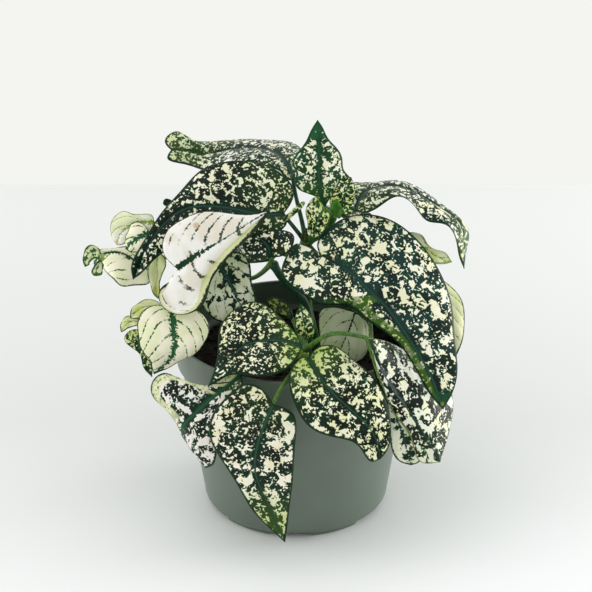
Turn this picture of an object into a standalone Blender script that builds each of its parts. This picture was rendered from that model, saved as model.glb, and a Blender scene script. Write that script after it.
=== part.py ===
"""A white-splash polka-dot plant, about 20 cm across, in its 10.5 cm nursery pot.

Units are metres, +Z is up and -Y is the front. The origin is on the ground under the middle of the
whole plant, so the pot's axis stands a little to one side of it.
"""

import math

import bmesh
import bpy
import numpy as np

MM = 0.001
POT_AXIS = np.array([7.3 * MM, 1.7 * MM, 0.0])

# The pot: an injection-moulded nursery pot with a straight collar, a tapered body and a notched foot
RIM_RADIUS = 53 * MM
POT_HEIGHT = 83 * MM
COLLAR_HEIGHT = 14 * MM
COLLAR_STEP = 2 * MM
BASE_RADIUS = 41 * MM
WALL = 1.4 * MM
FOOT_HEIGHT = 2 * MM
FOOT_RADIUS = 39 * MM
FOOT_WIDTH = 3 * MM
FOOT_NOTCHES = 6
FOOT_NOTCH_DEGREES = 25
FIRST_NOTCH_DEGREES = -94
DRAIN_HOLES = 6
DRAIN_HOLE_RADIUS = 3.5 * MM
DRAIN_HOLE_CIRCLE = 26 * MM
POT_SIDES = 48

# The potting mix fills the pot to 13 mm under the rim
SOIL_TOP = 70 * MM
SOIL_ROUGHNESS = 1.6 * MM
SOIL_HOLE_DEPTH = 8 * MM
CLEARANCE = 0.3 * MM

BLADE_THICKNESS = 0.7 * MM
STEM_RADIUS = 1.8 * MM
NODE_RADIUS = 2.6 * MM
STALK_RADIUS = 1.1 * MM
STALK_START = 3.0
END_HALF_WIDTH = 0.6 * MM
VEIN_LEAN = 1.5

# The eye that the plant's outlines are drawn from: 80 cm in front of the pot, looking down on it
EYE_DISTANCE = 0.800
EYE = POT_AXIS + np.array([0.0, -EYE_DISTANCE, 0.465])
LOOK_DOWN = math.radians(24.6)
PICTURE_MIDDLE = 296
EYE_TO_PICTURE = 2009
FORWARD = np.array([0.0, math.cos(LOOK_DOWN), -math.sin(LOOK_DOWN)])
UPWARD = np.array([0.0, math.sin(LOOK_DOWN), math.cos(LOOK_DOWN)])

# Where stalks leave the stems. Points of the plant are (across, down, depth): across and down the
# picture in its pixels, and the depth in mm behind the pot's axis, less than 0 in front of it.
NODES = {
    "main": (306, 243, 4),
    "crown": (333, 214, 8),
    "back": (309, 262, 8),
    "middle": (272, 262, -6),
    "left_low": (203, 298, -5),
    "left_mid": (189, 276, -8),
    "left_high": (172, 250, 1),
    "front": (306, 350, -37),
    "lap": (301, 358, -37),
    "rim": (297, 366, -37),
    "right_low": (352, 287, 15),
    "right": (352, 274, 14),
    "right_high": (357, 261, 13),
}

# Each stem: its foot on the ground plan in mm, the points that it rises through, its side shoots,
# and the youngest leaves, which are too small to be pieces of their own. Leaves are given as below.
STEMS = {
    "stem_main": {
        "foot": (9, 6),
        "path": [(308, 300, 6), "back", "main", (325, 231, 6), "crown"],
        "young": [
            {
                "at": (335, 216, 0), "faces": (0.1, -0.9, 0.4), "thick": 2.2,
                "rib": [(335, 216), (336, 209), (336.3, 199)],
                "left": [(330, 213), (331, 205)],
                "right": [(341, 213), (341, 205)],
                "stalk": ["crown"],
            },
            {
                "at": (340, 211, 2), "faces": (0.1, -0.9, 0.4),
                "rib": [(340, 211), (343, 200), (347, 189), (351, 177)],
                "left": [(330, 204), (334, 191), (343, 178)],
                "right": [(352, 205), (355, 195), (354, 184)],
                "stalk": ["crown"],
            },
            {
                "at": (341, 213, 0), "faces": (0.1, -0.8, 0.6),
                "rib": [(341, 213), (347, 210), (356, 208)],
                "left": [(344, 206), (350, 205)],
                "right": [(346, 215), (352, 213)],
                "stalk": ["crown"],
            },
            {
                "at": (325, 208, -3), "faces": (-0.3, -0.8, 0.4),
                "rib": [(325, 208), (320, 215, 1), (316, 225, 1), (314, 239, -1)],
                "left": [(314, 197), (307, 207), (306.5, 221), (309.5, 233)],
                "right": [(330, 217), (326, 227), (320, 236)],
                "stalk": ["crown", (332, 216, 1)],
            },
        ],
    },
    "stem_middle": {"foot": (5, -8), "path": [(303, 300, -2), (290, 287, -3), "middle"]},
    "stem_left": {
        "foot": (-20, 4),
        "path": [(226, 322, 2), "left_low", "left_mid", "left_high"],
        "shoots": [["left_low", (197, 312, -4), (182, 318, -9), (162, 320, -14), (150, 329, -15)]],
        "young": [
            {
                "at": (163, 306, -15), "faces": (-0.1, -0.8, 0.6),
                "rib": [(163, 309), (148, 306), (137, 311), (130, 318)],
                "left": [(157, 301), (151, 299), (140, 302), (132, 308)],
                "right": [(152, 313), (141, 318), (134, 319)],
                "stalk": [(172, 318, -13)],
            },
            {
                "at": (143, 323, -16), "faces": (-0.2, -0.8, 0.5),
                "rib": [(143, 323), (132, 321), (126, 325), (121, 332)],
                "left": [(135, 317), (128, 316), (121, 322)],
                "right": [(138, 326), (131, 327), (126, 330)],
                "stalk": [(158, 323, -14)],
            },
            {
                "at": (148, 333, -18), "faces": (-0.3, -0.9, 0.3),
                "rib": [(148, 333), (139, 341), (142, 356), (152, 377)],
                "left": [(141, 330), (129, 331), (124, 338), (129, 345), (139, 354), (143, 366)],
                "right": [(150, 341), (150, 352), (152, 366)],
                "stalk": [(153, 326, -15)],
            },
            {
                "at": (148, 233, -1), "faces": (-0.1, -0.9, 0.4),
                "rib": [(149, 233), (142, 236, 1), (134, 241, 1), (126, 249, -1)],
                "left": [(151, 242), (146, 249), (138, 252), (131, 252, -1)],
                "right": [(145, 226), (138, 222), (131, 224, 1), (128, 231), (125, 241, -1)],
                "stalk": [(171, 247, 0), (168, 241, -2), (159, 236, -3)],
            },
        ],
    },
    "stem_front": {
        "foot": (3, -26),
        "path": ["rim", "lap", "front"],
        "young": [
            {
                "at": (306, 343, -32), "faces": (0.1, -0.95, 0.3),
                "rib": [(306, 343), (305, 330), (303, 316), (301, 304)],
                "left": [(298, 335), (295, 322), (297, 311)],
                "right": [(313, 337), (314, 325), (308, 311)],
                "stalk": ["front"],
            },
            {
                "at": (293, 320, -22), "faces": (-0.1, -0.9, 0.4),
                "rib": [(293, 320), (284, 309), (275, 303), (267, 300)],
                "left": [(287, 318), (278, 315), (269, 309)],
                "right": [(291, 309), (283, 300), (273, 297)],
                "stalk": ["front", (300, 336, -31)],
            },
        ],
    },
    "stem_right": {"foot": (24, 14), "path": ["right_low", "right", "right_high"]},
}

# Leaves that the front view hides: the node that each grows from, its heading in degrees clockwise
# from straight back, how it rises and droops in degrees, and its stalk, length and half width in mm
HIDDEN_LEAVES = {
    "leaf_back_left": {
        "node": "back", "heading": -52, "rise": 2, "droop": 62, "lift": 0,
        "stalk": 17, "length": 56, "half_width": 17,
    },
    "leaf_back_high": {
        "node": "crown", "heading": 12, "rise": -4, "droop": 50, "lift": -6,
        "stalk": 14, "length": 46, "half_width": 12,
    },
    "leaf_back_right": {
        "node": "back", "heading": 38, "rise": 2, "droop": 55, "lift": 0,
        "stalk": 21, "length": 51, "half_width": 15,
    },
    "leaf_back_hanging": {
        "node": "right", "heading": -6, "rise": -14, "droop": 72, "lift": -5,
        "stalk": 20, "length": 56, "half_width": 16,
    },
    "leaf_back_low_left": {
        "node": "left_low", "heading": -6, "rise": -2, "droop": 76, "lift": 0,
        "stalk": 18, "length": 48, "half_width": 12,
    },
    "leaf_back_low_right": {
        "node": "right", "heading": 52, "rise": -6, "droop": 76, "lift": -5,
        "stalk": 18, "length": 44, "half_width": 13,
    },
}

# Each leaf: a point of its plane, the way its upper side faces, its rib from base to tip, and its
# two edges as seen from the eye. A third number lifts a point off that plane, in mm to the upper
# side. "stalk" is the node that it grows from and the points on the way to its base, and "start"
# how far from the node's middle the stalk begins, in mm.
LEAVES = {
    "leaf_top_upright": {
        "at": (325, 207, 7), "faces": (0.05, -0.95, 0.3),
        "rib": [(325, 207), (320, 188), (319, 160), (318.5, 135), (317.5, 120)],
        "left": [(313, 194), (301, 191), (295, 183), (296, 173), (292.5, 164), (299, 151), (306, 141),
                 (311, 130)],
        "right": [(333, 196), (348, 192), (351.5, 180), (344, 170), (342.5, 159), (336, 147), (328, 138),
                  (322, 126)],
        "stalk": ["crown"],
    },
    "leaf_top_left": {
        "at": (289, 171, 14), "faces": (0, -1, 0), "upper": (0, 0, 1),
        "rib": [(292, 175), (281, 156, -14), (258, 148, -26), (230, 150, -34), (205, 154, -38),
                (186, 151, -38), (171, 150, -35)],
        "left": [(297, 180, -2), (290, 181, -1), (281, 173, -3), (255, 166, -8), (228, 165, -16),
                 (205, 169, -24), (186, 165, -30), (167, 158, -32)],
        "right": [(301, 168, -6), (303, 151, -19), (289, 143, -34), (268, 142, -46), (240, 142, -54),
                  (205, 145, -56), (186, 138, -50), (177, 131, -46), (165, 142, -38)],
        "stalk": ["main", (303, 226, 9), (296, 197, 13)], "start": 2.9,
    },
    "leaf_left_large": {
        "at": (283, 214, 2), "faces": (0, -0.8, 0.6), "columns": 3,
        "rib": [(283, 214), (262, 214, 1), (236, 209, 2), (210, 206, 2), (182, 210, 2), (164, 224, 1),
                (147, 247), (133, 279.5, -3)],
        "left": [(287, 222), (280, 231), (262, 234), (235, 240), (205, 242), (178, 246), (160, 255),
                 (142, 273)],
        "right": [(290, 205), (294, 192), (280, 172), (255, 162), (225, 162), (202, 169), (182, 189),
                  (160, 215), (143, 242), (131, 268)],
        "stalk": ["main", (297, 231, 1)],
    },
    "leaf_top_right": {
        "at": (356, 209, 6), "faces": (0, -1, 0),
        "rib": [(356, 209), (364, 193, -6), (380, 187, -10), (402, 187, -12), (424, 198, -11),
                (444, 210, -9), (460, 224, -5), (463, 242, -1), (464, 268.5, 2)],
        "left": [(351, 196, -12), (352, 183, -20), (372, 183, -24), (396, 182, -25), (420, 191, -24),
                 (442, 205, -20), (460, 219, -14), (468, 231, -9), (466, 248, -4)],
        "right": [(363, 213, 4), (376, 208, 4), (398, 198, 2), (414, 206, 2), (430, 220.5, 3),
                  (443, 224, 4), (452, 233, 4), (459, 254, 4)],
        "stalk": ["crown", (345, 213, 8)],
    },
    "leaf_right_large": {
        "at": (325, 262, -12), "faces": (0.1, -0.75, 0.65), "columns": 3,
        "rib": [(325, 262), (347, 270, 1), (367, 288, 2), (388, 309, 2), (411, 342, 2), (430, 374, 1),
                (443, 409, -2)],
        "right": [(310, 255), (298, 243), (285, 258), (282, 275), (300, 293), (325, 305, 1), (347, 306, 1),
                  (368, 320, 1), (397, 343), (418, 374, -1), (436, 402, -2)],
        "left": [(317, 245), (329, 228), (350, 216), (372, 214), (396, 222), (418, 241), (438, 269),
                 (451, 300), (455, 340), (457, 375, -1), (450, 398, -2)],
        "stalk": ["main", (316, 253, -3)],
    },
    "leaf_white_large": {
        "at": (179, 270, -20), "faces": (0, -0.9, 0.45), "columns": 3,
        "rib": [(179, 270), (188, 261, 1), (203, 251, 2), (217, 243, 3), (244, 226, 2), (270, 210)],
        "left": [(171, 263), (164, 254), (166, 232), (183, 219), (204, 211.5), (236, 214), (256, 214)],
        "right": [(174, 279), (166, 287), (165, 299), (174, 307), (186, 308), (196, 300), (203, 281),
                  (215, 262), (229, 247), (246, 232), (260, 219)],
        "roll_right": [(171, 281, 1), (161.5, 287, 1), (159, 301, 2), (172, 313, 2), (188, 314, 3),
                       (203, 305, 3), (210, 284, 3), (222, 265, 3), (236, 250, 3), (252, 235, 2),
                       (264, 221, 0.5)],
        "stalk": ["left_mid", (182, 275, -15)],
    },
    "leaf_white_end": {
        "at": (146, 268, 5), "faces": (0, -0.6, 0.8),
        "rib": [(146, 268, -1), (136, 262), (124, 253), (111, 252, -1), (101, 256, -4), (94, 264, -9)],
        "left": [(148, 284), (134, 285), (122, 287), (113, 279), (105, 271, -2), (101, 266, -5)],
        "right": [(140, 254, 1), (126, 247, 1), (110, 248), (99, 250, -2), (93, 254, -7)],
        "stalk": ["left_high", (160, 262, 4)],
    },
    "leaf_white_upper": {
        "at": (144, 224, 4), "faces": (-0.2, -0.85, 0.5),
        "rib": [(154, 223), (144, 222, 1), (136, 223, 1), (128, 227, 1), (121, 233), (117, 245, -3)],
        "left": [(153, 232), (146, 234), (138, 238), (130, 239), (124, 244, -2)],
        "right": [(152, 215), (142, 214), (133, 214), (124, 211), (114, 217), (111, 228, -1), (113, 240, -3)],
        "stalk": ["left_high", (164, 238, 7)],
    },
    "leaf_lime_narrow": {
        "at": (159, 253, -3), "faces": (-0.2, -0.95, 0.1),
        "rib": [(159, 251), (157, 265, -1), (158, 276, -1), (156, 286, -1), (158, 299)],
        "left": [(153, 258), (148, 272), (150, 285), (155, 296)],
        "right": [(164, 257), (166.5, 264), (163, 273), (160, 285), (160, 294)],
        "stalk": ["left_high", (163, 249, -4)],
    },
    "leaf_white_low": {
        "at": (172, 313, -24), "faces": (-0.05, -0.85, 0.5),
        "rib": [(172, 313), (173, 329, 1), (175, 343, 1), (172, 355, -2), (164, 365, -5), (154, 374, -6)],
        "right": [(160, 305), (147, 308), (138, 320), (138, 336), (142, 350), (150, 360, -2), (152, 369, -5)],
        "left": [(185, 309), (199, 311), (208, 321), (209, 334), (203, 346), (193, 356, -1), (181, 361, -4),
                 (168, 368, -6)],
        "stalk": ["left_low", (198, 307, -12), (186, 311, -19)],
    },
    "leaf_pale_middle": {
        "at": (216, 262, -4), "faces": (0, -0.9, 0.45),
        "rib": [(216, 262), (223, 271), (231, 285), (238, 300), (250, 322)],
        "left": [(230, 252), (246, 256), (251, 270), (252, 283), (256, 297), (254, 310)],
        "right": [(206, 270), (200, 290), (203, 308), (220, 322), (236, 324)],
        "stalk": ["middle", (263, 272, -2), (251, 279, 0), (237, 274, 5), (224, 265, 5)],
    },
    "leaf_curled_middle": {
        "at": (271, 257, -12), "faces": (0, -1, 0),
        "rib": [(271, 257), (268, 247, -2), (262, 240, -4), (250, 236, -6)],
        "left": [(262, 262, 3), (252, 258, 2), (244, 250), (243, 242, -4)],
        "right": [(282, 256, 2), (293, 246, 2), (294, 236), (284, 230, -3), (266, 231, -5)],
        "stalk": ["middle"],
    },
    "leaf_front_left": {
        "at": (302, 347, -43), "faces": (-0.05, -0.5, 0.87),
        "rib": [(302, 347), (287, 341.5), (260, 341), (243, 347), (228, 361), (218, 372), (208, 387, -2)],
        "left": [(298, 358), (282, 371), (264, 377), (250, 376), (234, 374), (220, 380, -1)],
        "right": [(297, 335), (286, 322), (269, 308), (251, 302), (232, 310), (220, 327), (218, 350),
                  (214, 370)],
        "stalk": ["front"],
    },
    "leaf_rim_left": {
        "at": (241, 373, -50.5), "faces": (-0.25, -0.8, 0.55),
        "rib": [(241, 373), (225, 387), (208, 401), (193, 415), (182, 429, -4), (189, 447, -10),
                (206, 468, -14)],
        "left": [(243, 385), (236, 403), (222, 428), (216, 452, -4), (214, 464, -10)],
        "right": [(228, 374, 1), (216, 381, 1), (203, 386.5), (182, 384), (166, 373, -1), (152, 381, -2),
                  (151, 394, -4), (168, 411, -6), (180, 428, -9), (191, 447, -12)],
        "stalk": ["rim", (266, 372, -45)],
    },
    "leaf_rim_hanging": {
        "at": (273, 404, -64), "faces": (0, -1, 0.15),
        "rib": [(273, 404), (262, 431), (255.5, 455), (256, 475), (264, 495), (275, 519), (285, 542)],
        "left": [(294, 415, -2), (296, 437), (294, 460), (292.5, 485), (289, 512), (287, 530)],
        "right": [(262, 389), (248, 383.5), (230, 394), (213, 413), (209.5, 436), (220, 459), (237, 484),
                  (253, 511), (271, 530)],
        "stalk": ["rim", (288, 378, -52), (279, 391, -60)], "start": 3.5,
    },
    "leaf_rim_right": {
        "at": (308, 358, -44), "faces": (0.1, -0.75, 0.65),
        "rib": [(308, 358, 1), (321, 379, 3), (337, 397, 3), (358, 416, 1), (375, 437, -1), (380, 459, -5)],
        "right": [(300, 358, 2), (291, 368, 5), (289, 387, 8), (296, 408, 6), (313, 429, 2), (337, 438, -1),
                  (360, 448, -4), (372, 462, -6)],
        "left": [(317, 348), (334, 346), (355, 360), (373, 378), (387, 402), (391, 425, -1), (390, 442, -3),
                 (384, 455, -5)],
        "stalk": ["lap"], "start": 3.5,
    },
    "leaf_right_folded": {
        "at": (368, 338, -44), "faces": (0.1, -0.95, 0.25),
        "rib": [(368, 338), (378, 365, 1), (392, 388, 1), (408, 410, 1), (424, 434, 1), (440, 462)],
        "right": [(371, 352), (378, 378), (391, 408), (408, 433, -1), (423, 463, -3)],
        "left": [(384, 341, -9), (412, 353, -20), (438, 372, -22), (453, 395, -19), (450, 428, -11),
                 (443, 452, -4)],
        "stalk": ["front", (315, 342, -40), (327, 335, -41), (340, 333, -41), (354, 335, -41)],
    },
    "leaf_right_under": {
        "at": (372, 355, -41), "faces": (0, -0.98, 0.2),
        "rib": [(372, 355), (380, 372, 2), (388, 392, 3), (396, 415, 3), (404, 440, 2), (411, 465)],
        "right": [(374, 371, 1), (381, 391, 2), (388, 414, 1), (390, 440), (400, 462)],
        "left": [(386, 370), (397, 388), (408, 408), (418, 428), (421, 448), (419, 462)],
        "stalk": ["right", (366, 300, -6), (371, 333, -27)],
    },
    "leaf_right_edge": {
        "at": (420, 285, -8), "faces": (0.2, -0.7, 0.68),
        "rib": [(420, 285), (436, 302), (449, 325), (456, 357)],
        "left": [(432, 277), (448, 283), (461, 300), (465, 320), (462, 342)],
        "right": [(418, 300), (428, 325), (445, 348)],
        "stalk": ["right", (380, 272, 8)],
    },
    "leaf_right_curly": {
        "at": (402, 240, 6), "faces": (0.2, -0.5, 0.85),
        "rib": [(402, 240), (418, 244), (434, 255, 1), (452, 262)],
        "left": [(408, 233), (420, 233), (428, 245), (444, 252), (449, 258)],
        "right": [(408, 252), (420, 262), (437, 265)],
        "stalk": ["right_high", (378, 250, 12)],
    },
    "leaf_shade": {
        "at": (355, 312, -10), "faces": (0.1, -0.95, 0.3),
        "rib": [(355, 312), (349, 330), (341, 348), (336, 362)],
        "left": [(368, 323), (369, 342), (366, 356), (350, 364)],
        "right": [(336, 307), (321, 309), (319, 330), (321, 350)],
        "stalk": ["right_low", (356, 299, 3)],
    },
}


def unit(vectors):
    """The vectors at length 1."""
    return vectors / np.maximum(np.linalg.norm(vectors, axis=-1, keepdims=True), 1e-9)


def sight_line(across, down):
    """The way from the eye through a point of the picture."""
    right = np.array([across - PICTURE_MIDDLE, 0, 0]) / EYE_TO_PICTURE
    return FORWARD + right + UPWARD * (PICTURE_MIDDLE - down) / EYE_TO_PICTURE


def seen(point):
    """The place of a point given as across, down and depth."""
    across, down, depth = point
    line = sight_line(across, down)
    return EYE + line * (depth * MM + EYE_DISTANCE) / line[1]


def seen_on_plane(point, at, faces):
    """The place where a point's sight line meets the leaf's plane, raised by the point's lift."""
    line = sight_line(*point[:2])
    lift = point[2] * MM if len(point) > 2 else 0.0
    return EYE + line * ((at - EYE) @ faces + lift) / (line @ faces)


def smooth_curve(points, at):
    """A natural cubic spline through the points, read at fractions of its length."""
    points = np.asarray(points)
    steps = np.linalg.norm(np.diff(points, axis=0), axis=1)
    count = len(points)
    matrix = np.eye(count)
    right = np.zeros((count, 3))
    for i in range(1, count - 1):
        matrix[i, i - 1 : i + 2] = steps[i - 1], 2 * (steps[i - 1] + steps[i]), steps[i]
        right[i] = 6 * ((points[i + 1] - points[i]) / steps[i] - (points[i] - points[i - 1]) / steps[i - 1])
    bend = np.linalg.solve(matrix, right)
    knots = np.concatenate([[0], np.cumsum(steps)])
    along = np.linspace(0, knots[-1], 300)
    i = np.clip(np.searchsorted(knots, along, side="right") - 1, 0, count - 2)
    step = steps[i][:, None]
    after = (along - knots[i])[:, None]
    before = step - after
    curve = (
        (bend[i] * before**3 + bend[i + 1] * after**3) / (6 * step)
        + (points[i] / step - bend[i] * step / 6) * before
        + (points[i + 1] / step - bend[i + 1] * step / 6) * after
    )
    length = np.concatenate([[0], np.cumsum(np.linalg.norm(np.diff(curve, axis=0), axis=1))])
    return np.stack([np.interp(np.asarray(at) * length[-1], length, curve[:, k]) for k in range(3)], -1)


def leaf_curves(leaf):
    """The rib, the two edges and any rolled margin of a leaf, each as a list of places."""
    faces = unit(np.array(leaf["faces"], float))
    at = seen(leaf["at"])
    rib = [seen_on_plane(point, at, faces) for point in leaf["rib"]]
    curves = {"rib": rib}
    for name in ("left", "right", "roll_left", "roll_right"):
        if name in leaf:
            curves[name] = [rib[0], *[seen_on_plane(point, at, faces) for point in leaf[name]], rib[-1]]
    return curves, np.array(leaf.get("upper", leaf["faces"]), float)


def hidden_leaf_curves(leaf, node):
    """A leaf that the front view hides: it leaves its node at a heading and droops evenly."""
    heading = math.radians(leaf["heading"])
    out = np.array([math.sin(heading), math.cos(heading), 0.0])
    side = np.array([math.cos(heading), -math.sin(heading), 0.0])
    steps = 6
    slopes = np.radians(np.linspace(leaf["rise"], leaf["rise"] - leaf["droop"], steps))
    step = leaf["length"] * MM / steps
    start = node + out * leaf["stalk"] * MM + np.array([0, 0, leaf["lift"] * MM])
    moves = [out * math.cos(slope) * step + np.array([0, 0, math.sin(slope) * step]) for slope in slopes]
    rib = [start, *(start + np.cumsum(moves, axis=0))]
    widths = leaf["half_width"] * MM * np.array([0.82, 1.0, 0.9, 0.68, 0.38])
    hang = np.array([0, 0, -0.18])
    edges = {}
    for name, sign in (("left", -1), ("right", 1)):
        lobe = rib[0] + sign * side * widths[0] * 0.7 - moves[0] * 0.35
        edge = [rib[i + 1] + (sign * side + hang) * widths[i] for i in range(5)]
        edges[name] = [rib[0], lobe, *edge, rib[-1]]
    return {"rib": rib, **edges}, np.array([0.0, 0.0, 1.0])


def blade_grid(curves, upper, rows, columns, wave=0.8 * MM, crown=0.09):
    """Points of the blade in rows from base to tip and columns from left edge to right edge, with
    the direction of the upper side at each. Rows lean forward like side veins, so they leave the
    rib nearer to its base. Each half is crowned between rib and edge, and its edge waves gently. A
    rolled margin takes the last column."""
    along = np.linspace(0, 1, rows)
    rib = smooth_curve(curves["rib"], along**VEIN_LEAN)
    edges = {side: smooth_curve(curves[side], along) for side in ("left", "right")}
    rolls = {side: curves.get("roll_" + side) for side in ("left", "right")}
    forward = unit(np.gradient(rib, axis=0))
    across = edges["right"] - edges["left"]
    across = unit(across - (across * forward).sum(1, keepdims=True) * forward)
    normal = unit(np.cross(forward, across))
    normal *= np.sign(normal[rows // 2] @ upper)
    grid = np.empty((rows, 2 * columns + 1, 3))
    grid[:, columns] = rib
    ease = np.sin(math.pi * along) ** 0.7
    for side, sign in (("left", -1), ("right", 1)):
        half = edges[side] - rib
        rise = crown * np.linalg.norm(half, axis=1)
        ripple = wave * np.sin(math.tau * (2.5 * along + 0.4 * (sign > 0))) * ease
        flat = columns if rolls[side] is None else columns - 1
        for column in range(1, flat + 1):
            part = column / flat
            lift = rise * 4 * part * (1 - part) + ripple * part**2
            grid[:, columns + sign * column] = rib + half * part + normal * lift[:, None]
        if rolls[side] is not None:
            grid[:, columns + sign * columns] = smooth_curve(rolls[side], along)
    for row in (0, rows - 1):
        spread = np.linspace(-1, 1, 2 * columns + 1)[:, None] * END_HALF_WIDTH
        grid[row] = rib[row] + across[1 if row == 0 else rows - 2] * spread
    return grid, grid_normals(grid, normal)


def grid_normals(grid, guide):
    """The direction square to the grid at each point, on the guide's side: the sum of those of the
    cells that meet there, so that a cell counts by its area."""
    cells = np.cross(grid[1:, 1:] - grid[:-1, :-1], grid[1:, :-1] - grid[:-1, 1:])
    normals = np.zeros(grid.shape)
    for rows in (slice(None, -1), slice(1, None)):
        for columns in (slice(None, -1), slice(1, None)):
            normals[rows, columns] += cells
    middle = grid.shape[1] // 2
    turned = (normals[:, middle] * guide).sum(1)
    normals *= np.sign(np.median(np.sign(turned)))
    return unit(normals)


def stalk_rings(path, forward, across, upper, columns, radius):
    """Round rings along the path, their points paired with those of the blade's rows. The last one
    faces half way from the stalk to the blade, and the others follow it without a twist."""
    turn = math.pi * (1 - (np.arange(2 * columns + 1) + 0.5) / (2 * columns + 1))
    turn = np.concatenate([turn, -turn[::-1]])
    ways = unit(np.gradient(path, axis=0))
    ways[-1] = unit(ways[-1] + forward)
    sides = np.tile(across, (len(path), 1))
    for ring in reversed(range(len(path))):
        side = sides[min(ring + 1, len(path) - 1)]
        sides[ring] = unit(side - (side @ ways[ring]) * ways[ring])
    ups = np.cross(sides, ways)
    ups *= np.sign(ups[-1] @ upper)
    return [
        place + radius * (np.cos(turn)[:, None] * side + np.sin(turn)[:, None] * up)
        for place, side, up in zip(path, sides, ups)
    ]


def solid_of_rings(name, rings, columns):
    """A closed mesh over the rings, split alike on both faces, with flat ends."""
    size = len(rings[0])
    half = size // 2
    faces = []
    for ring in range(len(rings) - 1):
        for k in range(size):
            a, b = ring * size + k, ring * size + (k + 1) % size
            c, d = a + size, b + size
            faces += [(a, b, d), (a, d, c)] if k < half else [(a, b, c), (b, d, c)]
    for first, flip in ((0, True), ((len(rings) - 1) * size, False)):
        for k in range(half - 1):
            a, b = first + k, first + k + 1
            c, d = first + size - 1 - k, first + size - 2 - k
            pair = [(a, b, d), (a, d, c)]
            faces += [face[::-1] for face in pair] if flip else pair
    mesh = bpy.data.meshes.new(name)
    mesh.from_pydata(np.concatenate(rings).tolist(), [], faces)
    shell = bmesh.new()
    shell.from_mesh(mesh)
    bmesh.ops.recalc_face_normals(shell, faces=shell.faces)
    shell.to_mesh(mesh)
    shell.free()
    return mesh


def leaf_mesh(name, curves, upper, stalk, columns, rows=9, start=0.0, thickness=BLADE_THICKNESS):
    """A leaf grown as one piece: its stalk from the node, then its blade. The stalk starts at a
    distance from the node's middle, or inside the stem if that is 0."""
    grid, normals = blade_grid(curves, upper, rows, columns)
    rim = thickness / 2
    blade = [np.concatenate([row + side * rim, (row - side * rim)[::-1]]) for row, side in zip(grid, normals)]
    across = grid[1, -1] - grid[1, 0]
    knots = [*stalk, curves["rib"][0]]
    knots[0] = knots[0] + unit(knots[1] - knots[0]) * start
    length = sum(np.linalg.norm(np.diff(np.array(knots), axis=0), axis=1))
    count = max(2, round(length / (9 * MM)) + 1)
    path = smooth_curve(knots, np.linspace(0, 1, count)) if len(knots) > 2 else np.linspace(*knots, count)
    radius = STALK_RADIUS if start else 0.75 * STALK_RADIUS
    forward = unit(grid[2, columns] - grid[0, columns])
    rings = stalk_rings(path, forward, across, normals[1, columns], columns, radius)
    return solid_of_rings(name, rings + blade[1:], columns)


def material(name, colour, roughness):
    """A Principled material of one linear colour."""
    finish = bpy.data.materials.new(name)
    finish.use_nodes = True
    shader = finish.node_tree.nodes["Principled BSDF"]
    shader.inputs["Base Color"].default_value = (*colour, 1.0)
    shader.inputs["Roughness"].default_value = roughness
    return finish


def new_object(name, mesh, finish, collection):
    """An object of the mesh in the collection."""
    mesh.materials.clear()
    mesh.materials.append(finish)
    made = bpy.data.objects.new(name, mesh)
    collection.objects.link(made)
    return made


def cylinder_cutter(name, radius, low, high, place, cutters, sides=16):
    """An upright cylinder between two heights, for cutting, placed from the pot's axis."""
    bpy.ops.mesh.primitive_cylinder_add(vertices=sides, radius=radius, depth=high - low)
    cutter = bpy.context.object
    cutter.name = name
    cutter.location = (*(POT_AXIS[:2] + place), (low + high) / 2)
    return as_cutter(cutter, cutters)


def as_cutter(cutter, cutters):
    """Moves the object to the cutters' collection and keeps it out of the part."""
    for collection in list(cutter.users_collection):
        collection.objects.unlink(cutter)
    cutters.objects.link(cutter)
    cutter.hide_render = True
    cutter.display_type = "WIRE"
    return cutter


def combine(target, collection, operation, solver="EXACT"):
    """A Boolean of the target with every object of the collection."""
    boolean = target.modifiers.new(operation.title(), "BOOLEAN")
    boolean.operation = operation
    boolean.operand_type = "COLLECTION"
    boolean.collection = collection
    boolean.solver = solver


def evaluated_mesh(source):
    """The object's mesh with its modifiers applied, in world space."""
    bpy.context.view_layer.update()
    graph = bpy.context.evaluated_depsgraph_get()
    mesh = bpy.data.meshes.new_from_object(source.evaluated_get(graph))
    mesh.transform(source.matrix_world)
    return mesh


def turned(name, profile, sides, finish, collection):
    """A profile turned round the Z axis. At +X it runs down its outer side."""
    mesh = bpy.data.meshes.new(name)
    edges = [(k, k + 1) for k in range(len(profile) - 1)]
    mesh.from_pydata([(radius, 0, height) for radius, height in profile], edges, [])
    made = new_object(name, mesh, finish, collection)
    screw = made.modifiers.new("Turn", "SCREW")
    screw.steps = screw.render_steps = sides
    screw.use_merge_vertices = True
    screw.merge_threshold = 0.00001
    return made


def body_radius(height):
    """The outer radius of the tapered body under the collar."""
    top = POT_HEIGHT - COLLAR_HEIGHT
    share = (height - FOOT_HEIGHT) / (top - FOOT_HEIGHT)
    return BASE_RADIUS + (RIM_RADIUS - COLLAR_STEP - BASE_RADIUS) * share


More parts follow.
